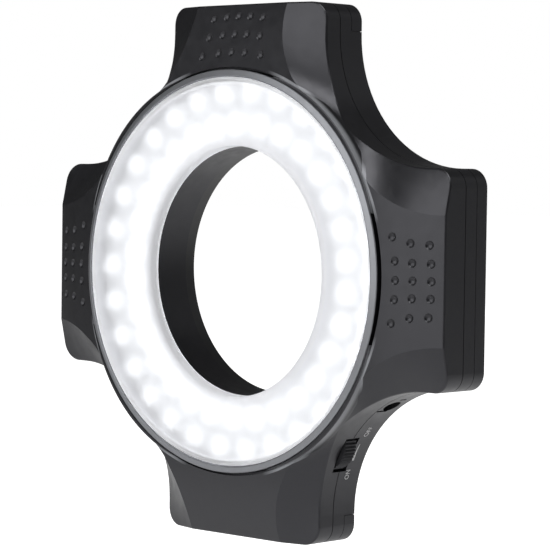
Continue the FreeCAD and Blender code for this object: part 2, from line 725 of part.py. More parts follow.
def battery_tray():
    far, near = bay_ends()
    low, high = tray_span()
    top = BODY_DEPTH - WALL - TRAY_TOP_GAP
    floor_y = CELL_DEPTH - CELL_R - CELL_CLEARANCE
    bottom = low - TRAY_WALL
    end = high + TRAY_WALL
    half = TRAY_FLOOR_HALF
    plan_gap = WALL + TRAY_SEAT_GAP
    outer = box(far - TRAY_END_WALL, near + TRAY_END_WALL, TRAY_SIDE_DEPTH, top, bottom, end)
    room_plan = plan_block(plan_gap + TRAY_END_WALL, 0, BODY_DEPTH)
    room = box(far, near, 0, BODY_DEPTH, low, high).common(room_plan)
    walls = outer.common(plan_block(plan_gap, 0, BODY_DEPTH)).cut(room)
    floor = box(-half, half, floor_y - TRAY_FLOOR, floor_y, bottom, end)
    legs = [box(-half, half, floor_y - TRAY_FLOOR, TRAY_SIDE_DEPTH, z, z + TRAY_WALL) for z in (bottom, high)]
    terminal_wall = box(near, near + TRAY_END_WALL, TERMINAL_WALL_DEPTH, TRAY_SIDE_DEPTH, bottom, end)
    tray = fused(walls, floor, terminal_wall, *legs)
    for row_index in range(2):
        tray = tray.cut(terminal_stub(row_index, near - 1, near + TRAY_END_WALL + 1, SCREW_CLEARANCE))
    return tray.removeSplitter()


def cell(row, nub_towards_terminals):
    far, near = bay_ends()
    length = CELL_LENGTH
    body = Part.makeCylinder(CELL_R, length, V(0, CELL_DEPTH, row), V(1, 0, 0))
    rims = [edge for edge in body.Edges if edge.Curve.TypeId == "Part::GeomCircle"]
    body = body.makeFillet(CELL_EDGE_R, rims)
    nub = Part.makeCylinder(CELL_NUB_R, CELL_NUB, V(length, CELL_DEPTH, row), V(1, 0, 0))
    whole = body.fuse(nub)
    if nub_towards_terminals:
        whole.translate(V(near - CONTACT_THICKNESS - CELL_NUB - length, 0, 0))
        return whole
    whole = mirrored(whole)
    whole.translate(V(far + CONTACT_THICKNESS + CELL_NUB + length, 0, 0))
    return whole


def contact_plates():
    """Two terminals at the lead end, and one bridge over both rows at the far end."""
    far, near = bay_ends()
    inner_row, outer_row = cell_rows()
    y0 = CELL_DEPTH - CONTACT_HALF
    y1 = CELL_DEPTH + CONTACT_HALF
    plates = []
    for row_index, row in enumerate((inner_row, outer_row)):
        start = min(y0, LEAD_DEPTHS[row_index] - STUB_HEIGHT / 2)
        plate = box(near - CONTACT_THICKNESS, near, start, y1, row - CONTACT_HALF, row + CONTACT_HALF)
        stub = terminal_stub(row_index, near - CONTACT_THICKNESS, near + TRAY_END_WALL + STUB_PROUD)
        plates.append(plate.fuse(stub))
    low = inner_row - CONTACT_HALF
    high = outer_row + CONTACT_HALF
    plates.append(box(far, far + CONTACT_THICKNESS, y0, y1, low, high))
    return Part.makeCompound(plates)


def arc_between(start, corner, end):
    """An arc that leaves start towards corner and reaches end coming from corner."""
    chord_middle = (start + end) * 0.5
    half_chord = (end - start).Length / 2
    rise = (corner - chord_middle).Length
    half_angle = math.atan(rise / half_chord)
    sagitta = half_chord / math.sin(half_angle) * (1 - math.cos(half_angle))
    return Part.Arc(start, chord_middle + (corner - chord_middle).normalize() * sagitta, end).toShape()


def biarc(start, heading, end, end_heading):
    """Two arcs that join start and end smoothly with the given headings."""
    across = end - start
    both = heading + end_heading
    slack = 2 * (1 - heading.dot(end_heading))
    along = across.dot(both)
    reach = (math.sqrt(along ** 2 + slack * across.dot(across)) - along) / slack
    first = start + heading * reach
    second = end - end_heading * reach
    joint = (first + second) * 0.5
    return [arc_between(start, first, joint), arc_between(joint, second, end)]


def spring_points():
    """Quarter-turn points and headings of a contact spring that winds along +X and narrows."""
    points = []
    for quarter in range(4 * SPRING_TURNS + 1):
        share = quarter / (4 * SPRING_TURNS)
        radius = SPRING_BIG_R + (SPRING_SMALL_R - SPRING_BIG_R) * share
        angle = math.pi / 2 * quarter
        narrowing = (SPRING_SMALL_R - SPRING_BIG_R) / (2 * math.pi * SPRING_TURNS)
        rise = SPRING_PITCH / (2 * math.pi)
        point = V(rise * angle, radius * math.cos(angle), radius * math.sin(angle))
        heading = V(rise, narrowing * math.cos(angle) - radius * math.sin(angle),
                    narrowing * math.sin(angle) + radius * math.cos(angle)).normalize()
        points.append((point, heading))
    return points


def contact_spring():
    stations = spring_points()
    edges = []
    for (start, heading), (end, end_heading) in zip(stations, stations[1:]):
        edges += biarc(start, heading, end, end_heading)
    ring = Part.Wire([Part.makeCircle(SPRING_WIRE_R, stations[0][0], stations[0][1])])
    return Part.Wire(edges).makePipeShell([ring], True, False)


def contact_springs():
    far, near = bay_ends()
    inner_row, outer_row = cell_rows()
    stand_off = CONTACT_THICKNESS + SPRING_WIRE_R + SPRING_SEAT_GAP
    at_far = contact_spring()
    at_far.translate(V(far + stand_off, CELL_DEPTH, inner_row))
    at_near = mirrored(contact_spring())
    at_near.translate(V(near - stand_off, CELL_DEPTH, outer_row))
    return Part.makeCompound([at_far, at_near])


def battery_door():
    """Slides outwards: rear plate with tongues, and a lip and skirts wrapped round the lobe's end."""
    inner_face = BODY_DEPTH - DOOR_PLATE
    front = DOOR_FRONT_DEPTH + DOOR_GAP
    end_zone = box(-2 * BEYOND, 2 * BEYOND, 0, BODY_DEPTH + 1, DOOR_SKIRT_START, LOBE_REACH + 1)
    end = plan_block(0, front, BODY_DEPTH).common(end_zone)
    end = end.cut(plan_block(DOOR_LIP, 0, inner_face))
    half = DOOR_HALF_WIDTH
    plate_end = DOOR_SKIRT_START + 1
    plate = box(-half, half, inner_face, BODY_DEPTH, DOOR_INNER_END, plate_end)
    half += TONGUE_REACH
    tongue_end = inner_face + TONGUE_THICKNESS
    tongues = box(-half, half, inner_face + TONGUE_GAP, tongue_end, DOOR_INNER_END, plate_end)
    door = fused(end, plate, tongues)
    near, far = DOOR_STOP
    stop_end = DOOR_SKIRT_START - DOOR_GAP + DOOR_STOP_GAP
    for start, stop in ((-far, -near), (near, far)):
        door = door.fuse(box(start, stop, front, BODY_DEPTH - DOOR_GAP, stop_end, DOOR_SKIRT_START))
    for i in range(GRIP_COUNT):
        z = GRIP_START + GRIP_PITCH * i
        door = door.cut(box(-GRIP_HALF_LENGTH, GRIP_HALF_LENGTH, BODY_DEPTH - GRIP_DEPTH, BODY_DEPTH + 1,
                            z, z + GRIP_WIDTH))
    corners = [V(-ARROW_SIZE / 2, 0, 0), V(ARROW_SIZE / 2, 0, 0), V(0, 0, ARROW_SIZE / 2)]
    arrow = Part.Face(Part.makePolygon(corners + corners[:1])).extrude(V(0, 2 * GRIP_DEPTH, 0))
    arrow.translate(V(0, BODY_DEPTH - GRIP_DEPTH, ARROW_TIP - ARROW_SIZE / 2))
    return door.cut(arrow).removeSplitter()


def in_bay(shape, lobe):
    """Bays of two lobes are mirrored, so that the terminals of neighbours face each other."""
    if lobe in MIRRORED_BAYS:
        shape = mirrored(shape)
    return on_lobe(shape, lobe)


# Dimmer

def dimmer_wheel():
    centre = wheel_centre()
    y0 = WHEEL_FRONT_DEPTH
    y1 = y0 + WHEEL_THICKNESS
    corners = []
    for i in range(2 * WHEEL_TEETH):
        radius = WHEEL_R - WHEEL_TOOTH_DEPTH * (i % 2)
        x, z = polar(radius, 180 * i / WHEEL_TEETH)
        corners.append(V(x, y0, z))
    wheel = Part.Face(Part.makePolygon(corners + corners[:1])).extrude(V(0, WHEEL_THICKNESS, 0))
    web_y0 = y1 - WHEEL_WEB
    wheel = wheel.cut(tube(WHEEL_R - WHEEL_RIM, WHEEL_HUB_R, y0, web_y0))
    wheel = wheel.cut(rod(SPINDLE_R + SPINDLE_RUNNING_GAP, y0, y1))
    wheel.translate(V(centre.x, 0, centre.z))
    return wheel


def dimmer_spindle():
    centre = wheel_centre()
    front = WHEEL_FRONT_DEPTH + SPINDLE_INSET
    return rod(SPINDLE_R, front, DRIVER_FRONT_DEPTH - SPINDLE_INSET, centre.x, centre.z)


def dimmer_body():
    centre = wheel_centre()
    front = WHEEL_FRONT_DEPTH + WHEEL_THICKNESS + POT_WHEEL_GAP
    return tube(POT_R, SPINDLE_R + SPINDLE_RUNNING_GAP, front, DRIVER_FRONT_DEPTH, centre.x, centre.z)


# Circuit board behind the lower right neck

def driver_board():
    y0 = DRIVER_FRONT_DEPTH
    y1 = y0 + DRIVER_THICKNESS
    board = box(DRIVER_LEFT, DRIVER_REACH, y0, y1, -DRIVER_REACH, DRIVER_TOP)
    board = board.cut(rod(RING_OUTER_R + WALL + DRIVER_EDGE_GAP, y0 - 1, y1 + 1))
    board = board.cut(rod(NECK_ARC_R + WALL + DRIVER_EDGE_GAP, y0 - 1, y1 + 1, NECK_CENTRE, -NECK_CENTRE))
    for x, z in boss_centres():
        board = board.cut(rod(BOSS_R + DRIVER_EDGE_GAP, y0 - 1, y1 + 1, x, z))
    board = board.cut(neck_block(JACK_ANGLE, 0, JACK_SETBACK + JACK_LENGTH + DRIVER_EDGE_GAP,
                                 JACK_WIDTH + DRIVER_EDGE_GAP, y0 - 1, y1 + 1))
    for x, z in DRIVER_SCREWS_AT:
        board = board.cut(rod(SMALL_SCREW[0] + SCREW_CLEARANCE, y0 - 1, y1 + 1, x, z))
    return max(board.Solids, key=lambda solid: solid.Volume)


def driver_chips():
    y1 = DRIVER_FRONT_DEPTH
    chips = []
    for x, z, width, height in CHIP_PLACES:
        chips.append(box(x - width / 2, x + width / 2, y1 - CHIP_HEIGHT, y1, z - height / 2, z + height / 2))
    return Part.makeCompound(chips)


def inlet_body():
    body = neck_block(JACK_ANGLE, JACK_SETBACK, JACK_LENGTH, JACK_WIDTH,
                      JACK_DEPTH - JACK_HEIGHT / 2, JACK_DEPTH + JACK_HEIGHT / 2)
    return body.cut(inlet_hole(JACK_BORE_R, JACK_SETBACK, JACK_BORE_LENGTH))


def inlet_pin():
    bottom = JACK_SETBACK + JACK_BORE_LENGTH
    return inlet_hole(JACK_PIN_R, bottom - JACK_PIN_LENGTH, JACK_PIN_LENGTH)


# Leads

def bay_point(lobe, across, along, depth):
    """A point of a bay's plan, turned to its lobe."""
    side = -1 if lobe in MIRRORED_BAYS else 1
    turn = FreeCAD.Rotation(REARWARD, 90 * LOBES.index(lobe))
    return turn.multVec(V(side * across, depth, along))


def lead_exit(lobe, row_index):
    """From a terminal's stub round the tray's corner towards the ring of leads."""
    stub_end = bay_ends()[1] + TRAY_END_WALL + STUB_PROUD
    row = cell_rows()[row_index]
    if row_index == 0:
        plan = [(stub_end, row), (stub_end + 3.6, row), (29.8, row - 4.8), (28.4, row - 10.6)]
    else:
        plan = [(stub_end, row), (stub_end + 4.2, row), (30.8, row - 4.8), (31.2, row - 12), (30.6, row - 19),
                (28.2, row - 25)]
    return [bay_point(lobe, across, along, LEAD_DEPTHS[row_index]) for across, along in plan]


def lead_ring(start, end, steps):
    """Round the bore, rising from the outer terminals' depth to the inner terminals' depth."""
    inner_depth, outer_depth = LEAD_DEPTHS
    points = []
    for i in range(steps + 1):
        x, z = polar(LEAD_RING_R, start + (end - start) * i / steps)
        points.append(V(x, outer_depth + (inner_depth - outer_depth) * i / steps, z))
    return points


def lead(points):
    """A round lead on straight runs joined by tangent arcs."""
    edges = []
    here = points[0]
    for before, corner, after in zip(points, points[1:], points[2:]):
        back = before - corner
        ahead = after - corner
        turn = math.pi - back.getAngle(ahead)
        reach = LEAD_ARC_SHARE * min(back.Length, ahead.Length)
        start = corner + back.normalize() * reach
        end = corner + ahead.normalize() * reach
        lead_radii.append(reach / math.tan(turn / 2))
        edges.append(Part.LineSegment(here, start).toShape())
        edges.append(arc_between(start, corner, end))
        here = end
    edges.append(Part.LineSegment(here, points[-1]).toShape())
    ring = Part.Wire([Part.makeCircle(LEAD_R, points[0], points[1] - points[0])])
    return Part.Wire(edges).makePipeShell([ring], True, False)


def battery_leads():
    inner_depth, outer_depth = LEAD_DEPTHS
    board = DRIVER_FRONT_DEPTH
    right_to_board = lead_exit("right", 0)
    right_to_board += [V(46.2, inner_depth + 1.5, -37.0), V(45.2, inner_depth + 5.5, -38.2)]
    right_to_board += [V(45.2, board, -38.2)]
    right_to_top = lead_exit("right", 1) + lead_ring(-18, 36, 3) + lead_exit("top", 0)[::-1]
    top_to_left = lead_exit("top", 1) + lead_ring(78, 206, 7) + lead_exit("left", 0)[::-1]
    left_to_bottom = lead_exit("left", 1) + lead_ring(222, 292, 4) + lead_exit("bottom", 0)[::-1]
    bottom_to_board = lead_exit("bottom", 1)
    bottom_to_board += [V(26.4, outer_depth + 1.2, -45.0), V(26.0, outer_depth + 5, -43.8)]
    bottom_to_board += [V(26.0, board, -43.8)]
    runs = (right_to_board, right_to_top, top_to_left, left_to_bottom, bottom_to_board)
    return Part.makeCompound([lead(points) for points in runs])


def lamp_leads():
    start = SEAT_DEPTH + SEAT_THICKNESS + BOARD_THICKNESS
    return Part.makeCompound([rod(LEAD_R, start, DRIVER_FRONT_DEPTH, x, z) for x, z in LAMP_LEADS_AT])


def least_gap_to_self():
    """Smallest free space between two turns of a contact spring."""
    points = [point for point, _ in spring_points()]
    return min((a - b).Length for i, a in enumerate(points) for b in points[i + 3:]) - 2 * SPRING_WIRE_R


def sub_parts():
    form = outer_form()
    hollow = hollow_form()
    board_front = SEAT_DEPTH + SEAT_THICKNESS
    driver = DRIVER_FRONT_DEPTH
    inner_row, outer_row = cell_rows()
    board_screws = [screw(SMALL_SCREW, POST_SCREW_LENGTH, board_front, False, x, z)
                    for x, z in post_centres()]
    ring_screws = [screw(SMALL_SCREW, RING_SCREW_LENGTH, ring_head_seat(), True, x, z)
                   for x, z in ring_screw_centres()]
    shell_screws = [screw(SHELL_SCREW, SHELL_SCREW_LENGTH, BODY_DEPTH - SHELL_HEAD_DEPTH, True, x, z)
                    for x, z in boss_centres()]
    driver_screws = [screw(SMALL_SCREW, DRIVER_SCREW_LENGTH, driver, False, x, z)
                     for x, z in DRIVER_SCREWS_AT]
    nodes = {
        "front_shell": front_shell(form, hollow),
        "rear_shell": rear_shell(form, hollow),
        "bezel_ring": bezel_ring(),
        "diffuser": diffuser(),
        "lamp_board": lamp_board(),
        "lamps_outer_row": lamp_row(OUTER_ROW_R, 0),
        "lamps_inner_row": lamp_row(INNER_ROW_R, 180 / LAMPS_PER_ROW),
        "lamp_board_screws": Part.makeCompound(board_screws),
        "lens_ring": lens_ring(),
        "lens_ring_screws": Part.makeCompound(ring_screws),
        "shell_screws": Part.makeCompound(shell_screws),
        "driver_board": driver_board(),
        "driver_inductor": rod(INDUCTOR_R, driver - INDUCTOR_HEIGHT, driver, *INDUCTOR_AT),
        "driver_capacitor": rod(CAPACITOR_R, driver - CAPACITOR_HEIGHT, driver, *CAPACITOR_AT),
        "driver_chips": driver_chips(),
        "driver_board_screws": Part.makeCompound(driver_screws),
        "dimmer_potentiometer": dimmer_body(),
        "dimmer_spindle": dimmer_spindle(),
        "dimmer_wheel": dimmer_wheel(),
        "dc_inlet": inlet_body(),
        "dc_inlet_pin": inlet_pin(),
        "battery_leads": battery_leads(),
        "lamp_leads": lamp_leads(),
    }
    bay = {
        "battery_door": battery_door(),
        "battery_tray": battery_tray(),
        "cell_inner": cell(inner_row, True),
        "cell_outer": cell(outer_row, False),
        "contact_plates": contact_plates(),
        "contact_springs": contact_springs(),
    }
    for lobe in LOBES:
        for name, shape in bay.items():
            nodes[name + "_" + lobe] = in_bay(shape, lobe)
    return nodes


if __name__ == "__main__":
    os.makedirs("parts", exist_ok=True)
    for name, shape in sub_parts().items():
        placed = shape.copy()
        placed.translate(V(0, -BODY_DEPTH, 0))
        placed.exportStep("parts/" + name + ".step")
        print(name, len(placed.Solids), round(placed.Volume, 1), placed.isValid())
    print("least gap between spring turns", round(least_gap_to_self(), 2))
    print("tightest lead bend", round(min(lead_radii), 2))
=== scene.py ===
import math

import bmesh
import bpy
from mathutils import Matrix, Vector


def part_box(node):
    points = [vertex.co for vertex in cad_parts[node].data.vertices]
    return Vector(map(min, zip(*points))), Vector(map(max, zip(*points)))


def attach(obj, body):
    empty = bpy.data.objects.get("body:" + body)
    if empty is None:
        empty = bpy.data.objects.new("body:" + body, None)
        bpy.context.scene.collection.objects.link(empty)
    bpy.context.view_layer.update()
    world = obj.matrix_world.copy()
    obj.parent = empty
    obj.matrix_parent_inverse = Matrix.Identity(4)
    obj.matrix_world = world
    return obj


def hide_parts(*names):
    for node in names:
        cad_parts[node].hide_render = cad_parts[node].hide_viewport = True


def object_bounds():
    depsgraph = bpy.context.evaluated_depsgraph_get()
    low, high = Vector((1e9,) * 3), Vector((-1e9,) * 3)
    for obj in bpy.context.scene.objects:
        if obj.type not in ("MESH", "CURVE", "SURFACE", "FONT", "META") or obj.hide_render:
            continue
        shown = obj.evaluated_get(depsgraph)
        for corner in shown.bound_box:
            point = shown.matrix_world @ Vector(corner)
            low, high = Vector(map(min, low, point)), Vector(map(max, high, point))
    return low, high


bl_info = {
    "name": "Ring light",
    "version": (1, 0, 0),
    "blender": (4, 5, 0),
    "location": "3D View > Sidebar > Ring light",
    "description": "Dresses the packed ring light with its finishes, lamps, screws, marks and studio",
    "category": "Object",
}

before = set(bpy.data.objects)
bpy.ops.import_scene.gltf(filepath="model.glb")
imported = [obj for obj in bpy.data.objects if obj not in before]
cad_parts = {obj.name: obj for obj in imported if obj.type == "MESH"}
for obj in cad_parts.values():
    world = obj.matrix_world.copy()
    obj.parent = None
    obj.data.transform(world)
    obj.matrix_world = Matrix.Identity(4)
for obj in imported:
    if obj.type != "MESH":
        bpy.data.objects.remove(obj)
cad_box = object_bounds()

MM = 0.001
LOBES = ("top", "right", "bottom", "left")
HOUSING = "housing"
FRONT = cad_box[0].y
REAR = cad_box[1].y
BLACK = (0.0, 0.0, 0.0, 1.0)

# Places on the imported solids

BORE_R = 40.7 * MM
BEZEL_INNER_R = 63.0 * MM
BEZEL_OUTER_R = 65.25 * MM
BEZEL_FALL = 1.0 * MM           # how far its front slopes back towards the outer edge
LIP_FRONT_DEPTH = 1.05 * MM     # where a lip's wall begins, from the front
LIP_REAR_DEPTH = 4.2 * MM       # and where it ends
SHELL_SCREW_CIRCLE_R = 60.8 * MM
SHELL_SCREW_SINK = 3 * MM
LENS_RING_SCREW_CIRCLE_R = 43.5 * MM
LENS_RING_SCREW_SINK = 1.25 * MM
NECK_CENTRE = 77.0 * MM         # axis of the lower right neck's round wall, from the lens axis in X and Z
NECK_R = 42.7 * MM
CELL_BAND = 9.0 * MM            # where a sleeve's pale end begins, from the middle of the cell
LOWER_DOOR_ROOM = 25 * MM       # between the light and the floor

# Settings

class RingLightSizes(bpy.types.PropertyGroup):
    """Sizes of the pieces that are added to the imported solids."""
    lamp_count: bpy.props.IntProperty(
        name="Lamps per row", description="Lamps in each of the two rows", default=30, min=3)
    lamp_side: bpy.props.FloatProperty(
        name="Lamp side", description="Side of a lamp's square package", default=5 * MM, unit="LENGTH",
        precision=5)
    outer_row: bpy.props.FloatProperty(
        name="Outer row radius", description="Radius of the outer row of lamps", default=58.4 * MM,
        unit="LENGTH", precision=5)
    inner_row: bpy.props.FloatProperty(
        name="Inner row radius", description="Radius of the inner row of lamps", default=48.4 * MM,
        unit="LENGTH", precision=5)
    letter_height: bpy.props.FloatProperty(
        name="Letter height", description="Height of the capitals beside the dimmer", default=1.9 * MM,
        unit="LENGTH", precision=5)


class RingLightColours(bpy.types.PropertyGroup):
    """Colours and levels that a user may change."""
    housing: bpy.props.FloatVectorProperty(
        name="Housing", description="Moulded shells and doors", subtype="COLOR", size=3, min=0, max=1,
        default=(0.0075, 0.0075, 0.0085))
    # This colour is also used for the painted highlight on the lips' walls at the necks.
    bezel: bpy.props.FloatVectorProperty(
        name="Bezel", description="Ring round the diffuser", subtype="COLOR", size=3, min=0, max=1,
        default=(0.2, 0.205, 0.217))
    diffuser: bpy.props.FloatVectorProperty(
        name="Diffuser", description="Milky cover over the lamps", subtype="COLOR", size=3, min=0, max=1,
        default=(0.88, 0.885, 0.905))
    glow: bpy.props.FloatVectorProperty(
        name="Glow", description="Colour of the lamps' light", subtype="COLOR", size=3, min=0, max=1,
        default=(0.975, 0.98, 1.0))
    lamp_level: bpy.props.FloatProperty(
        name="Lamp level", description="Brightness of the lit lamps", default=0.97, min=0)
    print_white: bpy.props.FloatVectorProperty(
        name="Print", description="Words and wedge beside the dimmer", subtype="COLOR", size=3, min=0, max=1,
        default=(0.6, 0.6, 0.6))


def sizes():
    """The sizes that the sidebar shows."""
    return bpy.context.scene.ring_light_sizes


def colours():
    """The colours and levels that the sidebar shows."""
    return bpy.context.scene.ring_light_colours


# Shader helpers

class Wiring:
    """Adds nodes to a node tree and links or sets their inputs in one call."""

    def __init__(self, tree):
        self.tree = tree

    def add(self, kind, inputs=None, **settings):
        """A new node with its properties set and its inputs fed."""
        node = self.tree.nodes.new(kind)
        for name, value in settings.items():
            setattr(node, name, value)
        for key, value in (inputs or {}).items():
            self.feed(node.inputs[key], value)
        return node

    def feed(self, socket, value):
        """Links another socket to an input, or sets it to a plain value."""
        if isinstance(value, bpy.types.NodeSocket):
            self.tree.links.new(value, socket)
        else:
            socket.default_value = value

    def math(self, operation, a, b=0.0, clamp=False):
        """The result of a math node."""
        node = self.add("ShaderNodeMath", operation=operation, use_clamp=clamp)
        self.feed(node.inputs[0], a)
        self.feed(node.inputs[1], b)
        return node.outputs[0]

    def noise(self, vector, scale, detail=2.0, roughness=0.5):
        """Noise between 0 and 1."""
        inputs = {"Vector": vector, "Scale": scale, "Detail": detail, "Roughness": roughness}
        return self.add("ShaderNodeTexNoise", inputs).outputs["Fac"]

    def mix_colour(self, factor, first, second):
        """The first colour where the factor is 0, and the second where it is 1."""
        node = self.add("ShaderNodeMix", data_type="RGBA")
        self.feed(node.inputs["Factor"], factor)
        self.feed(node.inputs[6], first)
        self.feed(node.inputs[7], second)
        return node.outputs[2]

    def span(self, value, low, high, to_low=0.0, to_high=1.0):
        """A straight change from one value to another between two limits, and level beyond them."""
        inputs = {"Value": value, "From Min": low, "From Max": high, "To Min": to_low, "To Max": to_high}
        return self.add("ShaderNodeMapRange", inputs, clamp=True).outputs["Result"]


def rgba(colour):
    """A colour with full cover."""
    return (colour[0], colour[1], colour[2], 1.0)


def shader_group(name, inputs, outputs):
    """A node group with named float or colour sockets, and its wiring, its input and its output node."""
    tree = bpy.data.node_groups.new(name, "ShaderNodeTree")
    for in_out, sockets in (("INPUT", inputs), ("OUTPUT", outputs)):
        for label, default in sockets:
            kind = "NodeSocketColor" if isinstance(default, tuple) else "NodeSocketFloat"
            socket = tree.interface.new_socket(name=label, in_out=in_out, socket_type=kind)
            if in_out == "INPUT":
                socket.default_value = default
    wiring = Wiring(tree)
    return wiring, wiring.add("NodeGroupInput"), wiring.add("NodeGroupOutput")


def object_position(wiring):
    """Coordinates that stay with the piece when its body moves."""
    return wiring.add("ShaderNodeTexCoord").outputs["Object"]


def split_position(wiring):
    """X, Y and Z of the object coordinates, and the distance from the lens axis."""
    parts = wiring.add("ShaderNodeSeparateXYZ", {"Vector": object_position(wiring)}).outputs
    x, z = parts["X"], parts["Z"]
    square = wiring.math("ADD", wiring.math("MULTIPLY", x, x), wiring.math("MULTIPLY", z, z))
    return x, parts["Y"], z, wiring.math("SQRT", square)


def build_grain_group():
    """Spark-eroded mould grain: fine pits over broad, faint waves."""
    outputs = [("Height", 0.0), ("Mottle", 0.0)]
    wiring, given, out = shader_group("moulded grain", [("Scale", 2400.0)], outputs)
    where = object_position(wiring)
    fine = wiring.noise(where, given.outputs["Scale"], 3.0, 0.6)
    coarse = wiring.noise(where, wiring.math("MULTIPLY", given.outputs["Scale"], 0.11), 2.0)
    height = wiring.math("ADD", wiring.math("MULTIPLY", fine, 0.8), wiring.math("MULTIPLY", coarse, 0.2))
    wiring.feed(out.inputs["Height"], height)
    wiring.feed(out.inputs["Mottle"], wiring.span(coarse, 0.3, 0.7))
    return wiring.tree


def build_drift_group():
    """Slow change of tone over a surface, as on any moulded or coated piece."""
    wiring, given, out = shader_group(
        "colour drift", [("Colour", (0.5, 0.5, 0.5, 1.0)), ("Amount", 0.1), ("Scale", 60.0)],
        [("Colour", (0.5, 0.5, 0.5, 1.0))])
    wave = wiring.noise(object_position(wiring), given.outputs["Scale"], 3.0)
    swing = wiring.math("MULTIPLY", wiring.math("SUBTRACT", wave, 0.5), given.outputs["Amount"])
    value = wiring.math("ADD", wiring.math("MULTIPLY", swing, 2.0), 1.0)
    toned = wiring.add("ShaderNodeHueSaturation", {"Color": given.outputs["Colour"], "Value": value})
    wiring.feed(out.inputs["Colour"], toned.outputs["Color"])
    return wiring.tree


def build_rub_group():
    """Patches that hands have rubbed smoother."""
    wiring, given, out = shader_group("handling rub", [("Scale", 45.0), ("Amount", 0.5)], [("Mask", 0.0)])
    patches = wiring.noise(object_position(wiring), given.outputs["Scale"], 4.0, 0.65)
    mask = wiring.span(patches, 0.52, 0.72)
    wiring.feed(out.inputs["Mask"], wiring.math("MULTIPLY", mask, given.outputs["Amount"], clamp=True))
    return wiring.tree


def build_dust_group():
    """Thin dust on what faces up."""
    wiring, given, out = shader_group("dust film", [("Amount", 0.1)], [("Mask", 0.0)])
    normal = wiring.add("ShaderNodeNewGeometry").outputs["Normal"]
    up = wiring.add("ShaderNodeSeparateXYZ", {"Vector": normal}).outputs["Z"]
    facing = wiring.span(up, 0.35, 1.0)
    specks = wiring.span(wiring.noise(object_position(wiring), 900.0, 4.0, 0.7), 0.42, 0.75)
    film = wiring.math("MULTIPLY", facing, specks)
    wiring.feed(out.inputs["Mask"], wiring.math("MULTIPLY", film, given.outputs["Amount"], clamp=True))
    return wiring.tree


def build_lamp_glow_group():
    """Light round each lamp of the two rows, falling off softly between them."""
    wiring, given, out = shader_group(
        "lamp glow", [("Count", 30.0), ("Outer", 0.0584), ("Inner", 0.0484), ("Spread", 0.0032)],
        [("Level", 0.0)])
    x, _, z, radius = split_position(wiring)
    turn = wiring.math("DIVIDE", wiring.math("ARCTAN2", z, x), 2 * math.pi)
    steps = wiring.math("MULTIPLY", turn, given.outputs["Count"])
    levels = []
    for row, shift in (("Outer", 0.5), ("Inner", 0.0)):
        share = wiring.math("SUBTRACT", wiring.math("FRACT", wiring.math("ADD", steps, shift)), 0.5)
        pitch = wiring.math("DIVIDE", wiring.math("MULTIPLY", given.outputs[row], 2 * math.pi),
                            given.outputs["Count"])
        across = wiring.math("DIVIDE", wiring.math("MULTIPLY", share, pitch), given.outputs["Spread"])
        along = wiring.math("DIVIDE", wiring.math("SUBTRACT", radius, given.outputs[row]),
                            given.outputs["Spread"])
        square = wiring.math("ADD", wiring.math("MULTIPLY", across, across),
                             wiring.math("MULTIPLY", along, along))
        levels.append(wiring.math("EXPONENT", wiring.math("MULTIPLY", square, -1.0)))
    wiring.feed(out.inputs["Level"], wiring.math("ADD", levels[0], levels[1], clamp=True))
    return wiring.tree


GROUP_BUILDERS = {
    "moulded grain": build_grain_group,
    "colour drift": build_drift_group,
    "handling rub": build_rub_group,
    "dust film": build_dust_group,
    "lamp glow": build_lamp_glow_group,
}


def shared(wiring, name, inputs):
    """Places a shared effect in a material with the material's own values."""
    tree = bpy.data.node_groups.get(name) or GROUP_BUILDERS[name]()
    node = wiring.add("ShaderNodeGroup", node_tree=tree)
    for label, value in inputs.items():
        wiring.feed(node.inputs[label], value)
    return node.outputs


def new_material(name):
    """An empty material with its wiring and its principled shader."""
    material = bpy.data.materials.new(name)
    material.use_nodes = True
    wiring = Wiring(material.node_tree)
    shader = material.node_tree.nodes["Principled BSDF"]
    return material, wiring, shader


def bumped(wiring, shader, height, distance):
    """Raises the surface by a height pattern."""
    bump = wiring.add("ShaderNodeBump", {"Height": height, "Distance": distance, "Strength": 1.0})
    wiring.feed(shader.inputs["Normal"], bump.outputs["Normal"])


DUST_TONE = (0.35, 0.34, 0.32, 1.0)
COOL_SHEEN = (0.93, 0.93, 1.0, 1.0)


def moulded(name, colour, roughness, grain, depth=0.012 * MM, drift=0.12, rub=0.3, dust=0.08):
    """Moulded plastic or rubber: grain, faint drift of tone, rubbed patches and a little dust."""
    material, wiring, shader = new_material(name)
    texture = shared(wiring, "moulded grain", {"Scale": grain})
    toned = shared(wiring, "colour drift", {"Colour": rgba(colour), "Amount": drift, "Scale": 55.0})
    film = shared(wiring, "dust film", {"Amount": dust})
    rubbed = shared(wiring, "handling rub", {"Scale": 40.0, "Amount": rub})
    wiring.feed(shader.inputs["Base Color"],
                wiring.mix_colour(film["Mask"], toned["Colour"], DUST_TONE))
    rough = wiring.math("ADD", wiring.math("MULTIPLY", texture["Mottle"], 0.08), roughness)
    smoother = wiring.math("MULTIPLY", rubbed["Mask"], -0.12)
    wiring.feed(shader.inputs["Roughness"], wiring.math("ADD", rough, smoother, clamp=True))
    bumped(wiring, shader, texture["Height"], depth)
    shader.inputs["Specular Tint"].default_value = COOL_SHEEN
    return material


def charcoal(name):
    """The dark moulding of shells and doors."""
    return moulded(name, colours().housing, roughness=0.31, grain=2600.0, depth=0.014 * MM, drift=0.1,
                   rub=0.35, dust=0.016)


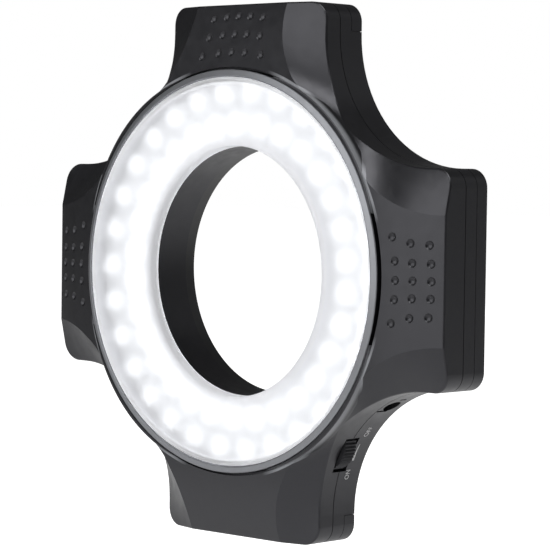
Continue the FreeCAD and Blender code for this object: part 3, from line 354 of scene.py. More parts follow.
def metal(name, colour, roughness, stretch=(1.0, 1.0, 1.0)):
    """Bare or plated metal with fine marks, stretched along one axis where it was drawn or brushed."""
    material, wiring, shader = new_material(name)
    mapped = wiring.add("ShaderNodeMapping", {"Vector": object_position(wiring), "Scale": stretch})
    marks = wiring.noise(mapped.outputs["Vector"], 1600.0, 3.0, 0.6)
    toned = shared(wiring, "colour drift", {"Colour": rgba(colour), "Amount": 0.1, "Scale": 120.0})
    rubbed = shared(wiring, "handling rub", {"Scale": 90.0, "Amount": 1.0})
    wiring.feed(shader.inputs["Base Color"], toned["Colour"])
    rough = wiring.math("ADD", wiring.math("MULTIPLY", marks, 0.2), roughness - 0.1)
    wiring.feed(shader.inputs["Roughness"],
                wiring.math("ADD", rough, wiring.math("MULTIPLY", rubbed["Mask"], 0.08), clamp=True))
    shader.inputs["Metallic"].default_value = 1.0
    bumped(wiring, shader, marks, 0.004 * MM)
    return material


def anodised(name, colour, roughness):
    """Black anodised metal: a glassy dark skin over the fine circles that a lathe leaves round the Y axis."""
    material, wiring, shader = new_material(name)
    _, depth, _, radius = split_position(wiring)
    circles = wiring.add("ShaderNodeCombineXYZ", {"X": radius, "Y": depth}).outputs["Vector"]
    marks = wiring.noise(circles, 5200.0, 1.0)
    toned = shared(wiring, "colour drift", {"Colour": rgba(colour), "Amount": 0.12, "Scale": 70.0})
    wiring.feed(shader.inputs["Base Color"], toned["Colour"])
    wiring.feed(shader.inputs["Roughness"],
                wiring.math("ADD", wiring.math("MULTIPLY", marks, 0.12), roughness - 0.06))
    shader.inputs["Specular IOR Level"].default_value = 0.55
    bumped(wiring, shader, marks, 0.005 * MM)
    return material


def lit_diffuser():
    """Frosted milky cover: it glows, and the lamps behind it show as soft blobs."""
    material, wiring, shader = new_material("lit diffuser")
    texture = shared(wiring, "moulded grain", {"Scale": 1500.0})
    milk = rgba(colours().diffuser)
    toned = shared(wiring, "colour drift", {"Colour": milk, "Amount": 0.03, "Scale": 40.0})
    wiring.feed(shader.inputs["Base Color"], toned["Colour"])
    wiring.feed(shader.inputs["Roughness"],
                wiring.math("ADD", wiring.math("MULTIPLY", texture["Mottle"], 0.05), 0.43))
    bumped(wiring, shader, texture["Height"], 0.004 * MM)
    shader.inputs["IOR"].default_value = 1.4
    shader.inputs["Transmission Weight"].default_value = 0.8
    radius = split_position(wiring)[3]
    throat = wiring.span(radius, BORE_R, 47 * MM, 0.6, 0.08)
    rim = wiring.span(radius, 60 * MM, 62.5 * MM, 0.0, 0.6)
    edges = wiring.math("ADD", throat, rim)
    wiring.feed(shader.inputs["Emission Color"], wiring.mix_colour(edges, BLACK, rgba(colours().glow)))
    shader.inputs["Emission Strength"].default_value = 0.3
    return material


def recoloured(material, wiring, mask, colour):
    """Lays another colour over a material's own where a mask is 1."""
    base = material.node_tree.nodes["Principled BSDF"].inputs["Base Color"]
    wiring.feed(base, wiring.mix_colour(mask, base.links[0].from_socket, rgba(colour)))
    return material


def trimmed_bezel():
    """Ring with a satin grey coat, which leaves only its outer wall black."""
    material = moulded("trimmed bezel", colours().bezel, roughness=0.34, grain=3200.0, depth=0.006 * MM,
                       drift=0.06, rub=0.2, dust=0.03)
    material.node_tree.nodes["Principled BSDF"].inputs["Metallic"].default_value = 0.6
    wiring = Wiring(material.node_tree)
    _, y, _, radius = split_position(wiring)
    slope = wiring.span(radius, BEZEL_INNER_R, BEZEL_OUTER_R, 0.0, BEZEL_FALL)
    depth = wiring.math("SUBTRACT", y, slope)
    side = wiring.math("MULTIPLY", wiring.span(depth, FRONT + 0.22 * MM, FRONT + 0.42 * MM),
                       wiring.span(radius, 64.6 * MM, 64.9 * MM))
    return recoloured(material, wiring, side, colours().housing)


def charcoal_with_painted_lip_highlight():
    """The shell's moulding, with a painted highlight in the bezel's grey on the walls of the lips across the
    four necks.
    """
    material = charcoal("charcoal moulding with painted lip highlight")
    wiring = Wiring(material.node_tree)
    x, y, z, radius = split_position(wiring)
    # Painted highlight: the lips' walls at the necks are made lighter to stand in for the lights' reflection
    # on them.
    across = wiring.math("ABSOLUTE", wiring.math("MULTIPLY", x, z))
    diagonal = wiring.math("DIVIDE", across, wiring.math("MULTIPLY", radius, radius))
    lip = wiring.span(diagonal, 0.25, 0.34)     # it is 0.5 in the middle of a neck
    for value, low, high, to_low, to_high in (
            (radius, 65.3 * MM, 65.6 * MM, 0.0, 1.0),
            (radius, 67.0 * MM, 67.1 * MM, 1.0, 0.0),
            (y, FRONT + LIP_FRONT_DEPTH, FRONT + 1.3 * MM, 0.0, 1.0),
            (y, FRONT + 2.6 * MM, FRONT + LIP_REAR_DEPTH, 1.0, 0.0)):
        lip = wiring.math("MULTIPLY", lip, wiring.span(value, low, high, to_low, to_high))
    return recoloured(material, wiring, lip, colours().bezel)


def glowing_board():
    """White board whose front face is lit by its own lamps."""
    material, wiring, shader = new_material("glowing lamp board")
    inputs = {"Count": float(sizes().lamp_count), "Outer": sizes().outer_row, "Inner": sizes().inner_row}
    level = shared(wiring, "lamp glow", inputs)["Level"]
    texture = shared(wiring, "moulded grain", {"Scale": 1800.0})
    wiring.feed(shader.inputs["Base Color"],
                wiring.mix_colour(texture["Mottle"], (0.78, 0.79, 0.78, 1.0), (0.82, 0.83, 0.82, 1.0)))
    depth = split_position(wiring)[1]
    lit_face = wiring.math("LESS_THAN", depth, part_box("lamp_board")[0].y + 0.2 * MM)
    lit = wiring.mix_colour(level, (0.25, 0.25, 0.255, 1.0), rgba(colours().glow))
    wiring.feed(shader.inputs["Emission Color"], wiring.mix_colour(lit_face, BLACK, lit))
    shader.inputs["Emission Strength"].default_value = colours().lamp_level
    shader.inputs["Roughness"].default_value = 0.4
    bumped(wiring, shader, texture["Height"], 0.01 * MM)
    return material


def glowing_part(name, colour, level):
    """A lamp's package or lens, lit from inside; on the board's screws the same glow is painted lamp light.
    """
    material, wiring, shader = new_material(name)
    toned = shared(wiring, "colour drift", {"Colour": rgba(colour), "Amount": 0.05, "Scale": 400.0})
    wiring.feed(shader.inputs["Base Color"], toned["Colour"])
    wiring.feed(shader.inputs["Emission Color"], toned["Colour"])
    shader.inputs["Emission Strength"].default_value = level
    shader.inputs["Roughness"].default_value = 0.3
    return material


def circuit_board(name, mask, copper):
    """Solder mask over a net of tracks."""
    material, wiring, shader = new_material(name)
    turned = wiring.add("ShaderNodeMapping", {"Vector": object_position(wiring),
                                              "Rotation": (math.radians(90), 0, 0)})
    bricks = wiring.add("ShaderNodeTexBrick", {"Vector": turned.outputs["Vector"], "Scale": 260.0,
                                               "Mortar Size": 0.035, "Mortar Smooth": 0.2},
                        offset=0.37, squash=0.7)
    texture = shared(wiring, "moulded grain", {"Scale": 2200.0})
    wiring.feed(shader.inputs["Base Color"],
                wiring.mix_colour(bricks.outputs["Fac"], rgba(mask), rgba(copper)))
    wiring.feed(shader.inputs["Roughness"],
                wiring.math("ADD", wiring.math("MULTIPLY", texture["Mottle"], 0.1), 0.3))
    bumped(wiring, shader, bricks.outputs["Fac"], 0.03 * MM)
    return material


SLEEVE_TEAL = (0.012, 0.045, 0.05, 1.0)
SLEEVE_GREY = (0.42, 0.43, 0.44, 1.0)
SLEEVE_WORN = (0.12, 0.11, 0.1, 1.0)


def cell_sleeve(name, axis, sign):
    """Plain sleeve of a cell: dark teal for most of its length and pale grey at one end."""
    material, wiring, shader = new_material(name)
    parts = wiring.add("ShaderNodeSeparateXYZ", {"Vector": object_position(wiring)})
    along = wiring.math("MULTIPLY", parts.outputs[axis], sign)
    band = wiring.math("GREATER_THAN", along, CELL_BAND)
    scratches = shared(wiring, "handling rub", {"Scale": 220.0, "Amount": 0.6})
    toned = shared(wiring, "colour drift", {"Colour": SLEEVE_TEAL, "Amount": 0.15, "Scale": 90.0})
    sleeve = wiring.mix_colour(band, toned["Colour"], SLEEVE_GREY)
    wiring.feed(shader.inputs["Base Color"], wiring.mix_colour(scratches["Mask"], sleeve, SLEEVE_WORN))
    wiring.feed(shader.inputs["Metallic"], wiring.math("MULTIPLY", band, 0.4))
    wiring.feed(shader.inputs["Roughness"],
                wiring.math("ADD", wiring.math("MULTIPLY", scratches["Mask"], 0.25), 0.28))
    return material


# Helpers for objects and meshes

def clothe(node, material):
    """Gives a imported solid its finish."""
    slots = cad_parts[node].data.materials
    slots.clear()
    slots.append(material)


def linked(name, data):
    """A new object in the scene."""
    made = bpy.data.objects.new(name, data)
    bpy.context.scene.collection.objects.link(made)
    return made


def new_piece(name, mesh, material):
    """Makes an object of a mesh that is already in its place, and lets it ride on the housing."""
    mesh.name = name
    mesh.materials.clear()
    mesh.materials.append(material)
    piece = linked(name, mesh)
    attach(piece, HOUSING)
    return piece


def plain_mesh(source):
    """The mesh of an object with its modifiers applied."""
    bpy.context.view_layer.update()
    graph = bpy.context.evaluated_depsgraph_get()
    return bpy.data.meshes.new_from_object(source.evaluated_get(graph), depsgraph=graph)


def closed_mesh(shape, name):
    """The mesh of a closed shape, with its faces turned outwards. The shape is used up."""
    bmesh.ops.recalc_face_normals(shape, faces=shape.faces)
    mesh = bpy.data.meshes.new(name)
    shape.to_mesh(mesh)
    shape.free()
    return mesh


def lathe_mesh(name, profile, steps):
    """A closed solid turned about Y from (radius, y) points that start and end on the axis."""
    shape = bmesh.new()
    rings = []
    for radius, y in profile:
        if radius < 1e-7:
            rings.append([shape.verts.new((0, y, 0))])
            continue
        ring = []
        for i in range(steps):
            angle = 2 * math.pi * i / steps
            ring.append(shape.verts.new((radius * math.cos(angle), y, radius * math.sin(angle))))
        rings.append(ring)
    for low, high in zip(rings, rings[1:]):
        for i in range(steps):
            j = (i + 1) % steps
            loop = [low[i % len(low)], low[j % len(low)], high[j % len(high)], high[i % len(high)]]
            shape.faces.new(list(dict.fromkeys(loop)))
    return closed_mesh(shape, name)


SHARP_ANGLE = math.radians(35)


def smooth_by_angle(mesh):
    """Smooth shading with sharp edges kept where the surface turns."""
    shape = bmesh.new()
    shape.from_mesh(mesh)
    for face in shape.faces:
        face.smooth = True
    for edge in shape.edges:
        if len(edge.link_faces) == 2 and edge.calc_face_angle(0) > SHARP_ANGLE:
            edge.smooth = False
    shape.to_mesh(mesh)
    shape.free()
    return mesh


# Node trees for what repeats

def geometry_tree(name, inputs):
    """An empty node tree for a modifier, with its named inputs."""
    tree = bpy.data.node_groups.new(name, "GeometryNodeTree")
    tree.is_modifier = True
    for label, kind, default in inputs:
        socket = tree.interface.new_socket(name=label, in_out="INPUT", socket_type="NodeSocket" + kind)
        if default is not None:     # an object or a material has none
            socket.default_value = default
    tree.interface.new_socket(name="Geometry", in_out="OUTPUT", socket_type="NodeSocketGeometry")
    wiring = Wiring(tree)
    return wiring, wiring.add("NodeGroupInput"), wiring.add("NodeGroupOutput")


def copies_on_circle():
    """Copies of a template on a circle round the Y axis, each turned with its place."""
    name = "copies on a circle"
    if name in bpy.data.node_groups:
        return bpy.data.node_groups[name]
    wiring, given, out = geometry_tree(name, [
        ("Template", "Object", None), ("Count", "Int", 4), ("Radius", "Float", 0.05),
        ("First Angle", "Float", 0.0), ("Depth", "Float", 0.0), ("Material", "Material", None)])
    index = wiring.add("GeometryNodeInputIndex").outputs[0]
    step = wiring.math("DIVIDE", 2 * math.pi, given.outputs["Count"])
    angle = wiring.math("ADD", wiring.math("MULTIPLY", index, step), given.outputs["First Angle"])
    x = wiring.math("MULTIPLY", wiring.math("COSINE", angle), given.outputs["Radius"])
    z = wiring.math("MULTIPLY", wiring.math("SINE", angle), given.outputs["Radius"])
    place = wiring.add("ShaderNodeCombineXYZ", {"X": x, "Y": given.outputs["Depth"], "Z": z})
    points = wiring.add("GeometryNodePoints", {"Count": given.outputs["Count"],
                                               "Position": place.outputs["Vector"]})
    turn = wiring.add("ShaderNodeCombineXYZ", {"Y": wiring.math("MULTIPLY", angle, -1.0)})
    rotation = wiring.add("FunctionNodeEulerToRotation", {"Euler": turn.outputs["Vector"]})
    template = wiring.add("GeometryNodeObjectInfo", {"Object": given.outputs["Template"]})
    copies = wiring.add("GeometryNodeInstanceOnPoints", {
        "Points": points.outputs[0], "Instance": template.outputs["Geometry"],
        "Rotation": rotation.outputs["Rotation"]})
    real = wiring.add("GeometryNodeRealizeInstances", {"Geometry": copies.outputs["Instances"]})
    coated = wiring.add("GeometryNodeSetMaterial", {
        "Geometry": real.outputs["Geometry"], "Material": given.outputs["Material"]})
    wiring.feed(out.inputs["Geometry"], coated.outputs["Geometry"])
    return wiring.tree


def grown_mesh(tree, **values):
    """Runs a node tree with the given inputs, and returns the plain mesh that it makes."""
    carrier = linked("carrier", bpy.data.meshes.new("carrier"))
    modifier = carrier.modifiers.new("grow", "NODES")
    modifier.node_group = tree
    labels = {label.replace("_", " ").title(): value for label, value in values.items()}
    for item in tree.interface.items_tree:
        if item.item_type == "SOCKET" and item.in_out == "INPUT" and item.name in labels:
            modifier[item.identifier] = labels[item.name]
    mesh = plain_mesh(carrier)
    carrier.modifiers.clear()
    bpy.data.objects.remove(carrier)
    return mesh


# Pieces

PACKAGE_HEIGHT = 1.4 * MM
PACKAGE_EDGE = 0.3 * MM         # bevel of its upright edges
DISH_RIM = 0.5 * MM
DISH_DEPTH = 0.25 * MM
LENS_R = 2.1 * MM
LENS_BASE = PACKAGE_HEIGHT - DISH_DEPTH
LENS_HEIGHT = 0.95 * MM


def make_lamp_package():
    """A lamp's square package with softened edges and a dished top."""
    side = sizes().lamp_side
    height = PACKAGE_HEIGHT
    shape = bmesh.new()
    bmesh.ops.create_cube(shape, size=1.0)
    bmesh.ops.scale(shape, vec=(side, height, side), verts=shape.verts)
    bmesh.ops.translate(shape, vec=(0, -height / 2, 0), verts=shape.verts)
    top = [face for face in shape.faces if face.normal.y < -0.9]
    bmesh.ops.inset_individual(shape, faces=top, thickness=DISH_RIM)
    bmesh.ops.translate(shape, vec=(0, DISH_DEPTH, 0),
                        verts=list({vert for face in top for vert in face.verts}))
    upright = [edge for edge in shape.edges
               if abs(edge.verts[0].co.y - edge.verts[1].co.y) > height * 0.9]
    bmesh.ops.bevel(shape, geom=upright, offset=PACKAGE_EDGE, segments=2, affect="EDGES", profile=0.5)
    return closed_mesh(shape, "lamp package")


def make_lamp_lens():
    """A low dome in the package's dish."""
    steps = 5
    profile = [(0, -LENS_BASE), (LENS_R, -LENS_BASE)]
    for i in range(1, steps):
        angle = math.radians(90) * i / steps
        profile.append((LENS_R * math.cos(angle), -LENS_BASE - LENS_HEIGHT * math.sin(angle)))
    profile.append((0, -LENS_BASE - LENS_HEIGHT))
    return lathe_mesh("lamp lens", profile, 20)


def make_lamps():
    """The two rows of lamps on the board's front, the inner one shifted by half a step."""
    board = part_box("lamp_board")
    package = linked("package source", make_lamp_package())
    lens = linked("lens source", smooth_by_angle(make_lamp_lens()))
    count = sizes().lamp_count
    level = colours().lamp_level
    package_finish = glowing_part("lamp package", (0.9, 0.91, 0.9), level * 0.85)
    lens_finish = glowing_part("lamp lens", (0.98, 0.99, 1.0), level)
    rows = (("outer", sizes().outer_row, 0.0), ("inner", sizes().inner_row, math.pi / count))
    for row, radius, first in rows:
        place = {"count": count, "radius": radius, "first_angle": first, "depth": board[0].y}
        mesh = grown_mesh(copies_on_circle(), template=package, material=package_finish, **place)
        piece = new_piece("lamp_packages_" + row, mesh, package_finish)
        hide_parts("lamps_%s_row" % row)
        mesh = grown_mesh(copies_on_circle(), template=lens, material=lens_finish, **place)
        new_piece("lamp_lenses_" + row, mesh, lens_finish)
    bpy.data.objects.remove(package)
    bpy.data.objects.remove(lens)


THREAD_PITCH = 0.5 * MM
THREAD_END = 0.3 * MM           # plain length at each end of the thread
CORE_SHARE = 0.86               # thread core, as a share of the shank
CROWN_SHARE = 0.55              # straight part of the head's height


def screw_profile(shank_r, head_r, head_height, length):
    """Half section of a threaded pan-head screw; the head's underside is at 0."""
    core_r = shank_r * CORE_SHARE
    crown = head_height * CROWN_SHARE
    turns = int(length / THREAD_PITCH)
    threaded = length - 2 * THREAD_END
    profile = [(0, -length), (shank_r * 0.4, -length)]
    for i in range(turns):
        y = -length + THREAD_END + threaded * i / turns
        profile += [(core_r, y), (shank_r, y + threaded / turns * 0.5)]
    profile += [(core_r, -0.2 * MM), (core_r, 0), (head_r * 0.96, 0), (head_r, 0.1 * MM), (head_r, crown)]
    for i in range(1, 5):
        angle = math.radians(90) * i / 4
        profile.append((head_r * (0.55 + 0.45 * math.cos(angle)),
                        crown + (head_height - crown) * math.sin(angle)))
    return profile + [(0, head_height)]


def cross_mesh(head_r, head_height):
    """Two crossed bars that cut the recess into a screw's head."""
    shape = bmesh.new()
    for turn in (20, 110):
        corners = bmesh.ops.create_cube(shape, size=1.0)["verts"]
        bmesh.ops.scale(shape, vec=(head_r * 1.15, head_height * 1.2, head_r * 0.26), verts=corners)
        bmesh.ops.rotate(shape, matrix=Matrix.Rotation(math.radians(turn), 3, "Y"), verts=corners)
        bmesh.ops.translate(shape, vec=(0, head_height, 0), verts=corners)
    return closed_mesh(shape, "recess")


def make_screw(shank_r, head_r, head_height, length):
    """A pan-head screw along Y with its head towards +Y and a cross recess."""
    profile = screw_profile(shank_r, head_r, head_height, length)
    body = linked("screw body", lathe_mesh("screw body", profile, 28))
    cutter = linked("recess", cross_mesh(head_r, head_height))
    modifier = body.modifiers.new("recess", "BOOLEAN")
    modifier.operation = "DIFFERENCE"
    modifier.solver = "EXACT"
    modifier.use_self = True
    modifier.object = cutter
    mesh = plain_mesh(body)
    bpy.data.objects.remove(body)
    bpy.data.objects.remove(cutter)
    return smooth_by_angle(mesh)


def make_screws():
    """The screws that show at the rear, four of each kind."""
    black = metal("blackened screw", (0.05, 0.05, 0.052), roughness=0.38)
    shell = make_screw(shank_r=1.25 * MM, head_r=2.4 * MM, head_height=1.6 * MM, length=13 * MM)
    ring = make_screw(shank_r=1.0 * MM, head_r=1.9 * MM, head_height=1.2 * MM, length=5 * MM)
    kinds = (   # node, mesh, radius of the circle, first angle, underside of the heads
        ("shell_screws", shell, SHELL_SCREW_CIRCLE_R, 45.0, REAR - SHELL_SCREW_SINK),
        ("lens_ring_screws", ring, LENS_RING_SCREW_CIRCLE_R, 22.5, REAR - LENS_RING_SCREW_SINK),
    )
    for node, mesh, radius, first, depth in kinds:
        source = linked(node + " source", mesh)
        grown = grown_mesh(copies_on_circle(), template=source, count=4, radius=radius,
                           first_angle=math.radians(first), depth=depth, material=black)
        piece = new_piece(node + "_threaded", grown, black)
        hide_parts(node)
        bpy.data.objects.remove(source)


PRINT_PROUD = 0.03 * MM         # the print's outer face, over the wall
PRINT_SUNK = -0.02 * MM         # its inner face, in the wall


def on_neck(angle, depth, proud):
    """A point on the lower right neck's wall, lifted off it a little."""
    radius = NECK_R - proud
    return Vector((NECK_CENTRE - radius * math.cos(angle), depth, -NECK_CENTRE + radius * math.sin(angle)))


def wrap_on_neck(mesh, middle_angle, middle_y):
    """Lays a flat mesh, with its thickness in Z, on the neck's wall. Up points to the front."""
    for vert in mesh.vertices:
        angle = math.radians(middle_angle) + vert.co.x / NECK_R
        vert.co = on_neck(angle, middle_y - vert.co.y, vert.co.z)
    mesh.update()


def word_mesh(text, height, width):
    """A word as a thin raised mesh, centred, with capitals of the given height and the given length."""
    curve = bpy.data.curves.new(text, "FONT")
    curve.body = text
    curve.size = 1.0
    curve.extrude = 0.01
    curve.resolution_u = 6
    source = linked(text, curve)
    mesh = plain_mesh(source)
    bpy.data.objects.remove(source)
    xs = [vert.co.x for vert in mesh.vertices]
    ys = [vert.co.y for vert in mesh.vertices]
    across = width / (max(xs) - min(xs))
    up = height / (max(ys) - min(ys))
    for vert in mesh.vertices:
        vert.co.x = (vert.co.x - (max(xs) + min(xs)) / 2) * across
        vert.co.y = (vert.co.y - (max(ys) + min(ys)) / 2) * up
        vert.co.z = PRINT_PROUD if vert.co.z > 0 else PRINT_SUNK
    return mesh


def wedge_mesh(length, thick, thin):
    """The slim wedge between the two words: thick at the ON end."""
    half = length / 2
    steps = 8
    shape = bmesh.new()
    columns = []
    for i in range(steps + 1):
        share = i / steps
        x = -half + length * share
        reach = (thick + (thin - thick) * share) / 2
        columns.append([shape.verts.new((x, y, z)) for y, z in (
            (-reach, PRINT_SUNK), (reach, PRINT_SUNK), (reach, PRINT_PROUD), (-reach, PRINT_PROUD))])
    shape.faces.new(columns[0])
    shape.faces.new(columns[-1][::-1])
    for a, b in zip(columns, columns[1:]):
        for i in range(4):
            j = (i + 1) % 4
            shape.faces.new((a[i], b[i], b[j], a[j]))
    return closed_mesh(shape, "wedge")


def outward(mesh):
    """Turns all faces of closed shells outwards."""
    shape = bmesh.new()
    shape.from_mesh(mesh)
    bmesh.ops.remove_doubles(shape, verts=shape.verts, dist=1e-7)
    bmesh.ops.recalc_face_normals(shape, faces=shape.faces)
    shape.to_mesh(mesh)
    shape.free()
    return mesh


def make_marks():
    """The print beside the dimmer: each mark, its angle on the neck's wall and its depth behind the front."""
    ink = moulded("white print", colours().print_white, roughness=0.5, grain=5000.0, depth=0.004 * MM,
                  drift=0.2, dust=0.0)
    height = sizes().letter_height
    marks = (
        ("mark_on", word_mesh("ON", height, 3.3 * MM), 17.5, 21.5 * MM),
        ("mark_off", word_mesh("OFF", height, 4.2 * MM), 39.6, 22.4 * MM),
        ("mark_wedge", wedge_mesh(6.3 * MM, 1.0 * MM, 0.25 * MM), 28.4, 22.0 * MM),
    )
    for name, mesh, angle, depth in marks:
        wrap_on_neck(mesh, angle, FRONT + depth)
        new_piece(name, outward(mesh), ink)


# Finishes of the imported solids

def finish_shells():
    """Front and rear shell, and the four doors."""
    # The front shell carries a painted highlight on the lips' walls at the necks.
    clothe("front_shell", charcoal_with_painted_lip_highlight())
    plastic = charcoal("charcoal moulding")
    clothe("rear_shell", plastic)
    for lobe in LOBES:
        clothe("battery_door_" + lobe, plastic)


def finish_light_unit():
    """Bezel, diffuser, board and lamps."""
    clothe("bezel_ring", trimmed_bezel())
    clothe("diffuser", lit_diffuser())
    clothe("lamp_board", glowing_board())
    # The board's screws glow faintly: painted lamp light on their white heads.
    clothe("lamp_board_screws", glowing_part("white screw with painted lamp glow", (0.85, 0.86, 0.85), 0.35))
    make_lamps()


def finish_lens_ring():
    """The metal ring at the rear."""
    clothe("lens_ring", anodised("anodised ring", (0.009, 0.009, 0.01), roughness=0.35))


def finish_controls():
    """Dimmer, inlet and the print beside them."""
    clothe("dimmer_wheel", moulded("wheel rubber", (0.012, 0.012, 0.013), roughness=0.55, grain=3500.0,
                                   depth=0.02 * MM, drift=0.15, rub=0.5, dust=0.1))
    clothe("dimmer_spindle", metal("ground spindle", (0.6, 0.6, 0.6), 0.25, stretch=(1, 0.05, 1)))
    clothe("dimmer_potentiometer", metal("pressed can", (0.66, 0.67, 0.68), 0.3))
    clothe("dc_inlet", moulded("inlet moulding", (0.01, 0.01, 0.01), roughness=0.4, grain=3000.0))
    clothe("dc_inlet_pin", metal("plated pin", (0.75, 0.72, 0.66), 0.2))
    make_marks()


def finish_electronics():
    """The driver board, what stands on it, and the leads."""
    clothe("driver_board", circuit_board("green board", (0.012, 0.11, 0.04), (0.05, 0.22, 0.09)))
    clothe("driver_inductor", moulded("ferrite", (0.06, 0.06, 0.065), roughness=0.7, grain=900.0,
                                      depth=0.05 * MM, drift=0.3))
    clothe("driver_capacitor", metal("drawn can", (0.7, 0.71, 0.73), 0.22, stretch=(1, 0.1, 1)))
    clothe("driver_chips", moulded("chip moulding", (0.015, 0.015, 0.016), roughness=0.6, grain=2000.0))
    clothe("driver_board_screws", metal("zinc screw", (0.6, 0.6, 0.58), 0.3))
    clothe("battery_leads", moulded("white insulation", (0.72, 0.72, 0.7), roughness=0.4, grain=1500.0,
                                    depth=0.01 * MM, drift=0.2))
    clothe("lamp_leads", moulded("black insulation", (0.012, 0.012, 0.012), roughness=0.4, grain=1500.0))


def finish_battery_bays():
    """What lies behind the doors. The cells of a lobe lie head to tail, along one axis."""
    tray = moulded("tray moulding", (0.018, 0.018, 0.018), roughness=0.5, grain=1800.0, depth=0.02 * MM)
    plate = metal("plated contact", (0.78, 0.75, 0.68), 0.22)
    wire = metal("plated spring wire", (0.72, 0.7, 0.65), 0.25)
    for lobe in LOBES:
        axis, sign = ("X", 1.0) if lobe in ("top", "bottom") else ("Z", -1.0)
        clothe("battery_tray_" + lobe, tray)
        clothe("cell_inner_" + lobe, cell_sleeve("sleeve inner " + lobe, axis, sign))
        clothe("cell_outer_" + lobe, cell_sleeve("sleeve outer " + lobe, axis, -sign))
        clothe("contact_plates_" + lobe, plate)
        clothe("contact_springs_" + lobe, wire)


# Studio

# The camera as it was fitted to the photograph: angles in degrees, lens and sensor in millimetres
CAMERA_AZIMUTH = 43.352
CAMERA_ELEVATION = 2.462
CAMERA_ROLL = 0.796
CAMERA_DISTANCE = 791.556 * MM
CAMERA_SLIDE = 17.098 * MM
CAMERA_RAISE = -0.845 * MM
CAMERA_LENS = 160.28
SENSOR_WIDTH = 36.0


def direction(azimuth, elevation):
    """The direction from the object towards a place; azimuth 0 is in front, and 90 is at the right."""
    return Vector((math.sin(azimuth) * math.cos(elevation), -math.cos(azimuth) * math.cos(elevation),
                   math.sin(elevation)))


def camera_axes():
    """The camera's right, up and back before it is rolled."""
    azimuth = math.radians(CAMERA_AZIMUTH)
    back = direction(azimuth, math.radians(CAMERA_ELEVATION))
    right = Vector((math.cos(azimuth), math.sin(azimuth), 0.0))
    return right, back.cross(right), back


def make_camera():
    """The camera at the place that was fitted to the photograph."""
    right, up, back = camera_axes()
    place = back * CAMERA_DISTANCE + right * CAMERA_SLIDE + Vector((0, FRONT, CAMERA_RAISE))
    roll = math.radians(CAMERA_ROLL)
    right_rolled = right * math.cos(roll) + up * math.sin(roll)
    up_rolled = up * math.cos(roll) - right * math.sin(roll)
    turn = Matrix((right_rolled, up_rolled, back)).transposed().to_4x4()
    lens = bpy.data.cameras.new("camera")
    lens.lens = CAMERA_LENS
    lens.sensor_width = SENSOR_WIDTH
    lens.clip_start = 0.01
    lens.clip_end = 50.0
    camera = linked("camera", lens)
    camera.matrix_world = Matrix.Translation(place) @ turn
    bpy.context.scene.camera = camera


FLOOR_REACH = 6.0
WHITE = (1.0, 1.0, 1.0, 1.0)


def floor_paint():
    """White paint that glows for the camera, and near the object also in its gloss."""
    material, wiring, shader = new_material("studio floor")
    shader.inputs["Base Color"].default_value = (0.82, 0.82, 0.82, 1.0)
    shader.inputs["Roughness"].default_value = 0.9
    length = wiring.add("ShaderNodeVectorMath", {0: object_position(wiring)}, operation="LENGTH")
    far = length.outputs["Value"]
    path = wiring.add("ShaderNodeLightPath").outputs
    seen = wiring.math("MULTIPLY", path["Is Camera Ray"], wiring.span(far, 0.25, 1.2, 0.86, 1.0))
    mirrored = wiring.math("MULTIPLY", path["Is Glossy Ray"], wiring.span(far, 0.16, 0.4, 0.45, 0.0))
    wiring.feed(shader.inputs["Emission Strength"], wiring.math("ADD", seen, mirrored))
    shader.inputs["Emission Color"].default_value = WHITE
    return material


def make_floor():
    """A floor that keeps a faint shadow, fades into the backdrop and leaves room for the lower door."""
    ground = cad_box[0].z - LOWER_DOOR_ROOM
    mesh = bpy.data.meshes.new("floor")
    corners = [(-FLOOR_REACH, -FLOOR_REACH, ground), (FLOOR_REACH, -FLOOR_REACH, ground),
               (FLOOR_REACH, FLOOR_REACH, ground), (-FLOOR_REACH, FLOOR_REACH, ground)]
    mesh.from_pydata(corners, [], [(0, 1, 2, 3)])
    mesh.materials.append(floor_paint())
    floor = linked("floor", mesh)


def make_world():
    """White for the camera, and a weak fill for the object."""
    world = bpy.data.worlds.new("studio")
    world.use_nodes = True
    wiring = Wiring(world.node_tree)
    background = world.node_tree.nodes["Background"]
    background.inputs["Color"].default_value = WHITE
    seen = wiring.add("ShaderNodeLightPath").outputs["Is Camera Ray"]
    wiring.feed(background.inputs["Strength"], wiring.span(seen, 0.0, 1.0, 0.05, 1.0))
    bpy.context.scene.world = world


def softbox(name, azimuth, elevation, distance, width, height, brightness):
    """A rectangular lamp that faces the object from a direction; brightness 1 shows as white."""
    out = direction(math.radians(azimuth), math.radians(elevation))
    light = bpy.data.lights.new(name, "AREA")
    light.shape = "RECTANGLE"
    light.size = width
    light.size_y = height
    light.energy = brightness * math.pi * width * height
    lamp = linked(name, light)
    lamp.rotation_mode = "QUATERNION"
    lamp.rotation_quaternion = out.to_track_quat("Z", "Y")
    lamp.location = out * distance


def make_lights():
    """A large soft lamp in front, one high at the right for bore and necks, and two weak ones behind."""
    softbox("front", azimuth=0, elevation=22, distance=1.6, width=2.1, height=1.75, brightness=2.5)
    softbox("high right", azimuth=82, elevation=66, distance=1.2, width=0.8, height=0.8, brightness=4.5)
    softbox("rear right", azimuth=141, elevation=16, distance=1.5, width=1.0, height=1.4, brightness=0.25)
    softbox("rear", azimuth=200, elevation=5, distance=1.8, width=1.0, height=0.6, brightness=0.8)


def make_studio():
    """Camera, floor, backdrop and lamps."""
    bpy.context.scene.view_settings.view_transform = "Standard"
    make_camera()
    make_floor()
    make_world()
    make_lights()


# Operators

class RING_LIGHT_OT_shells(bpy.types.Operator):
    """Finish the moulded shells and battery doors"""
    bl_idname = "ring_light.shells"
    bl_label = "Shells and doors"

    def execute(self, context):
        finish_shells()
        return {"FINISHED"}


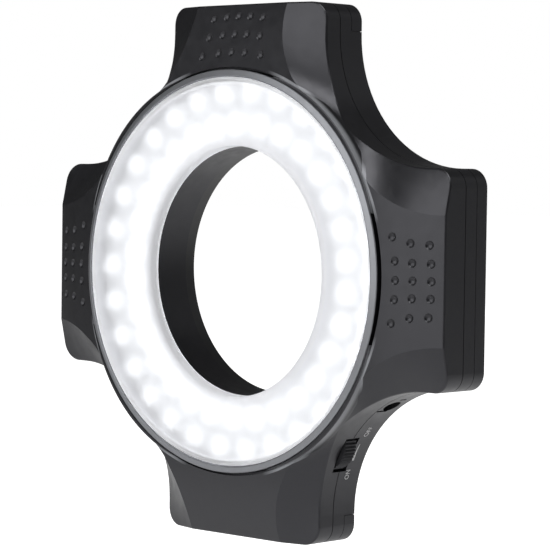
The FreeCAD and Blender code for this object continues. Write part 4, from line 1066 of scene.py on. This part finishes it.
class RING_LIGHT_OT_light_unit(bpy.types.Operator):
    """Finish bezel, diffuser and lamp board, and add the two rows of lamps"""
    bl_idname = "ring_light.light_unit"
    bl_label = "Light unit"

    def execute(self, context):
        finish_light_unit()
        return {"FINISHED"}


class RING_LIGHT_OT_lens_ring(bpy.types.Operator):
    """Finish the lens ring at the rear"""
    bl_idname = "ring_light.lens_ring"
    bl_label = "Lens ring"

    def execute(self, context):
        finish_lens_ring()
        return {"FINISHED"}


class RING_LIGHT_OT_screws(bpy.types.Operator):
    """Add the screws that show at the rear"""
    bl_idname = "ring_light.screws"
    bl_label = "Screws"

    def execute(self, context):
        make_screws()
        return {"FINISHED"}


class RING_LIGHT_OT_controls(bpy.types.Operator):
    """Finish dimmer and inlet, and print their marks"""
    bl_idname = "ring_light.controls"
    bl_label = "Dimmer, inlet and marks"

    def execute(self, context):
        finish_controls()
        return {"FINISHED"}


class RING_LIGHT_OT_electronics(bpy.types.Operator):
    """Finish the circuit board, its components and the leads"""
    bl_idname = "ring_light.electronics"
    bl_label = "Electronics"

    def execute(self, context):
        finish_electronics()
        return {"FINISHED"}


class RING_LIGHT_OT_battery_bays(bpy.types.Operator):
    """Finish trays, cells, contacts and springs"""
    bl_idname = "ring_light.battery_bays"
    bl_label = "Battery bays"

    def execute(self, context):
        finish_battery_bays()
        return {"FINISHED"}


class RING_LIGHT_OT_studio(bpy.types.Operator):
    """Set up the floor, the lights and the camera"""
    bl_idname = "ring_light.studio"
    bl_label = "Studio"

    def execute(self, context):
        make_studio()
        return {"FINISHED"}


STEPS = (RING_LIGHT_OT_shells, RING_LIGHT_OT_light_unit, RING_LIGHT_OT_lens_ring, RING_LIGHT_OT_screws,
         RING_LIGHT_OT_controls, RING_LIGHT_OT_electronics, RING_LIGHT_OT_battery_bays, RING_LIGHT_OT_studio)


class RING_LIGHT_PT_sidebar(bpy.types.Panel):
    """Sizes, colours and steps of the ring light"""
    bl_idname = "RING_LIGHT_PT_sidebar"
    bl_label = "Ring light"
    bl_space_type = "VIEW_3D"
    bl_region_type = "UI"
    bl_category = "Ring light"

    def draw(self, context):
        for group in (context.scene.ring_light_sizes, context.scene.ring_light_colours):
            for name in group.__annotations__:
                self.layout.prop(group, name)
        for step in STEPS:
            self.layout.operator(step.bl_idname)


CLASSES = (RingLightSizes, RingLightColours) + STEPS + (RING_LIGHT_PT_sidebar,)


def register():
    """Adds the classes and the settings to Blender."""
    for one in CLASSES:
        bpy.utils.register_class(one)
    bpy.types.Scene.ring_light_sizes = bpy.props.PointerProperty(type=RingLightSizes)
    bpy.types.Scene.ring_light_colours = bpy.props.PointerProperty(type=RingLightColours)


def unregister():
    """Takes them out again."""
    del bpy.types.Scene.ring_light_colours
    del bpy.types.Scene.ring_light_sizes
    for one in reversed(CLASSES):
        bpy.utils.unregister_class(one)


def main():
    """Builds the ring light step by step."""
    register()
    for step in STEPS:
        family, name = step.bl_idname.split(".")
        getattr(getattr(bpy.ops, family), name)()


if __name__ == "__main__":
    main()
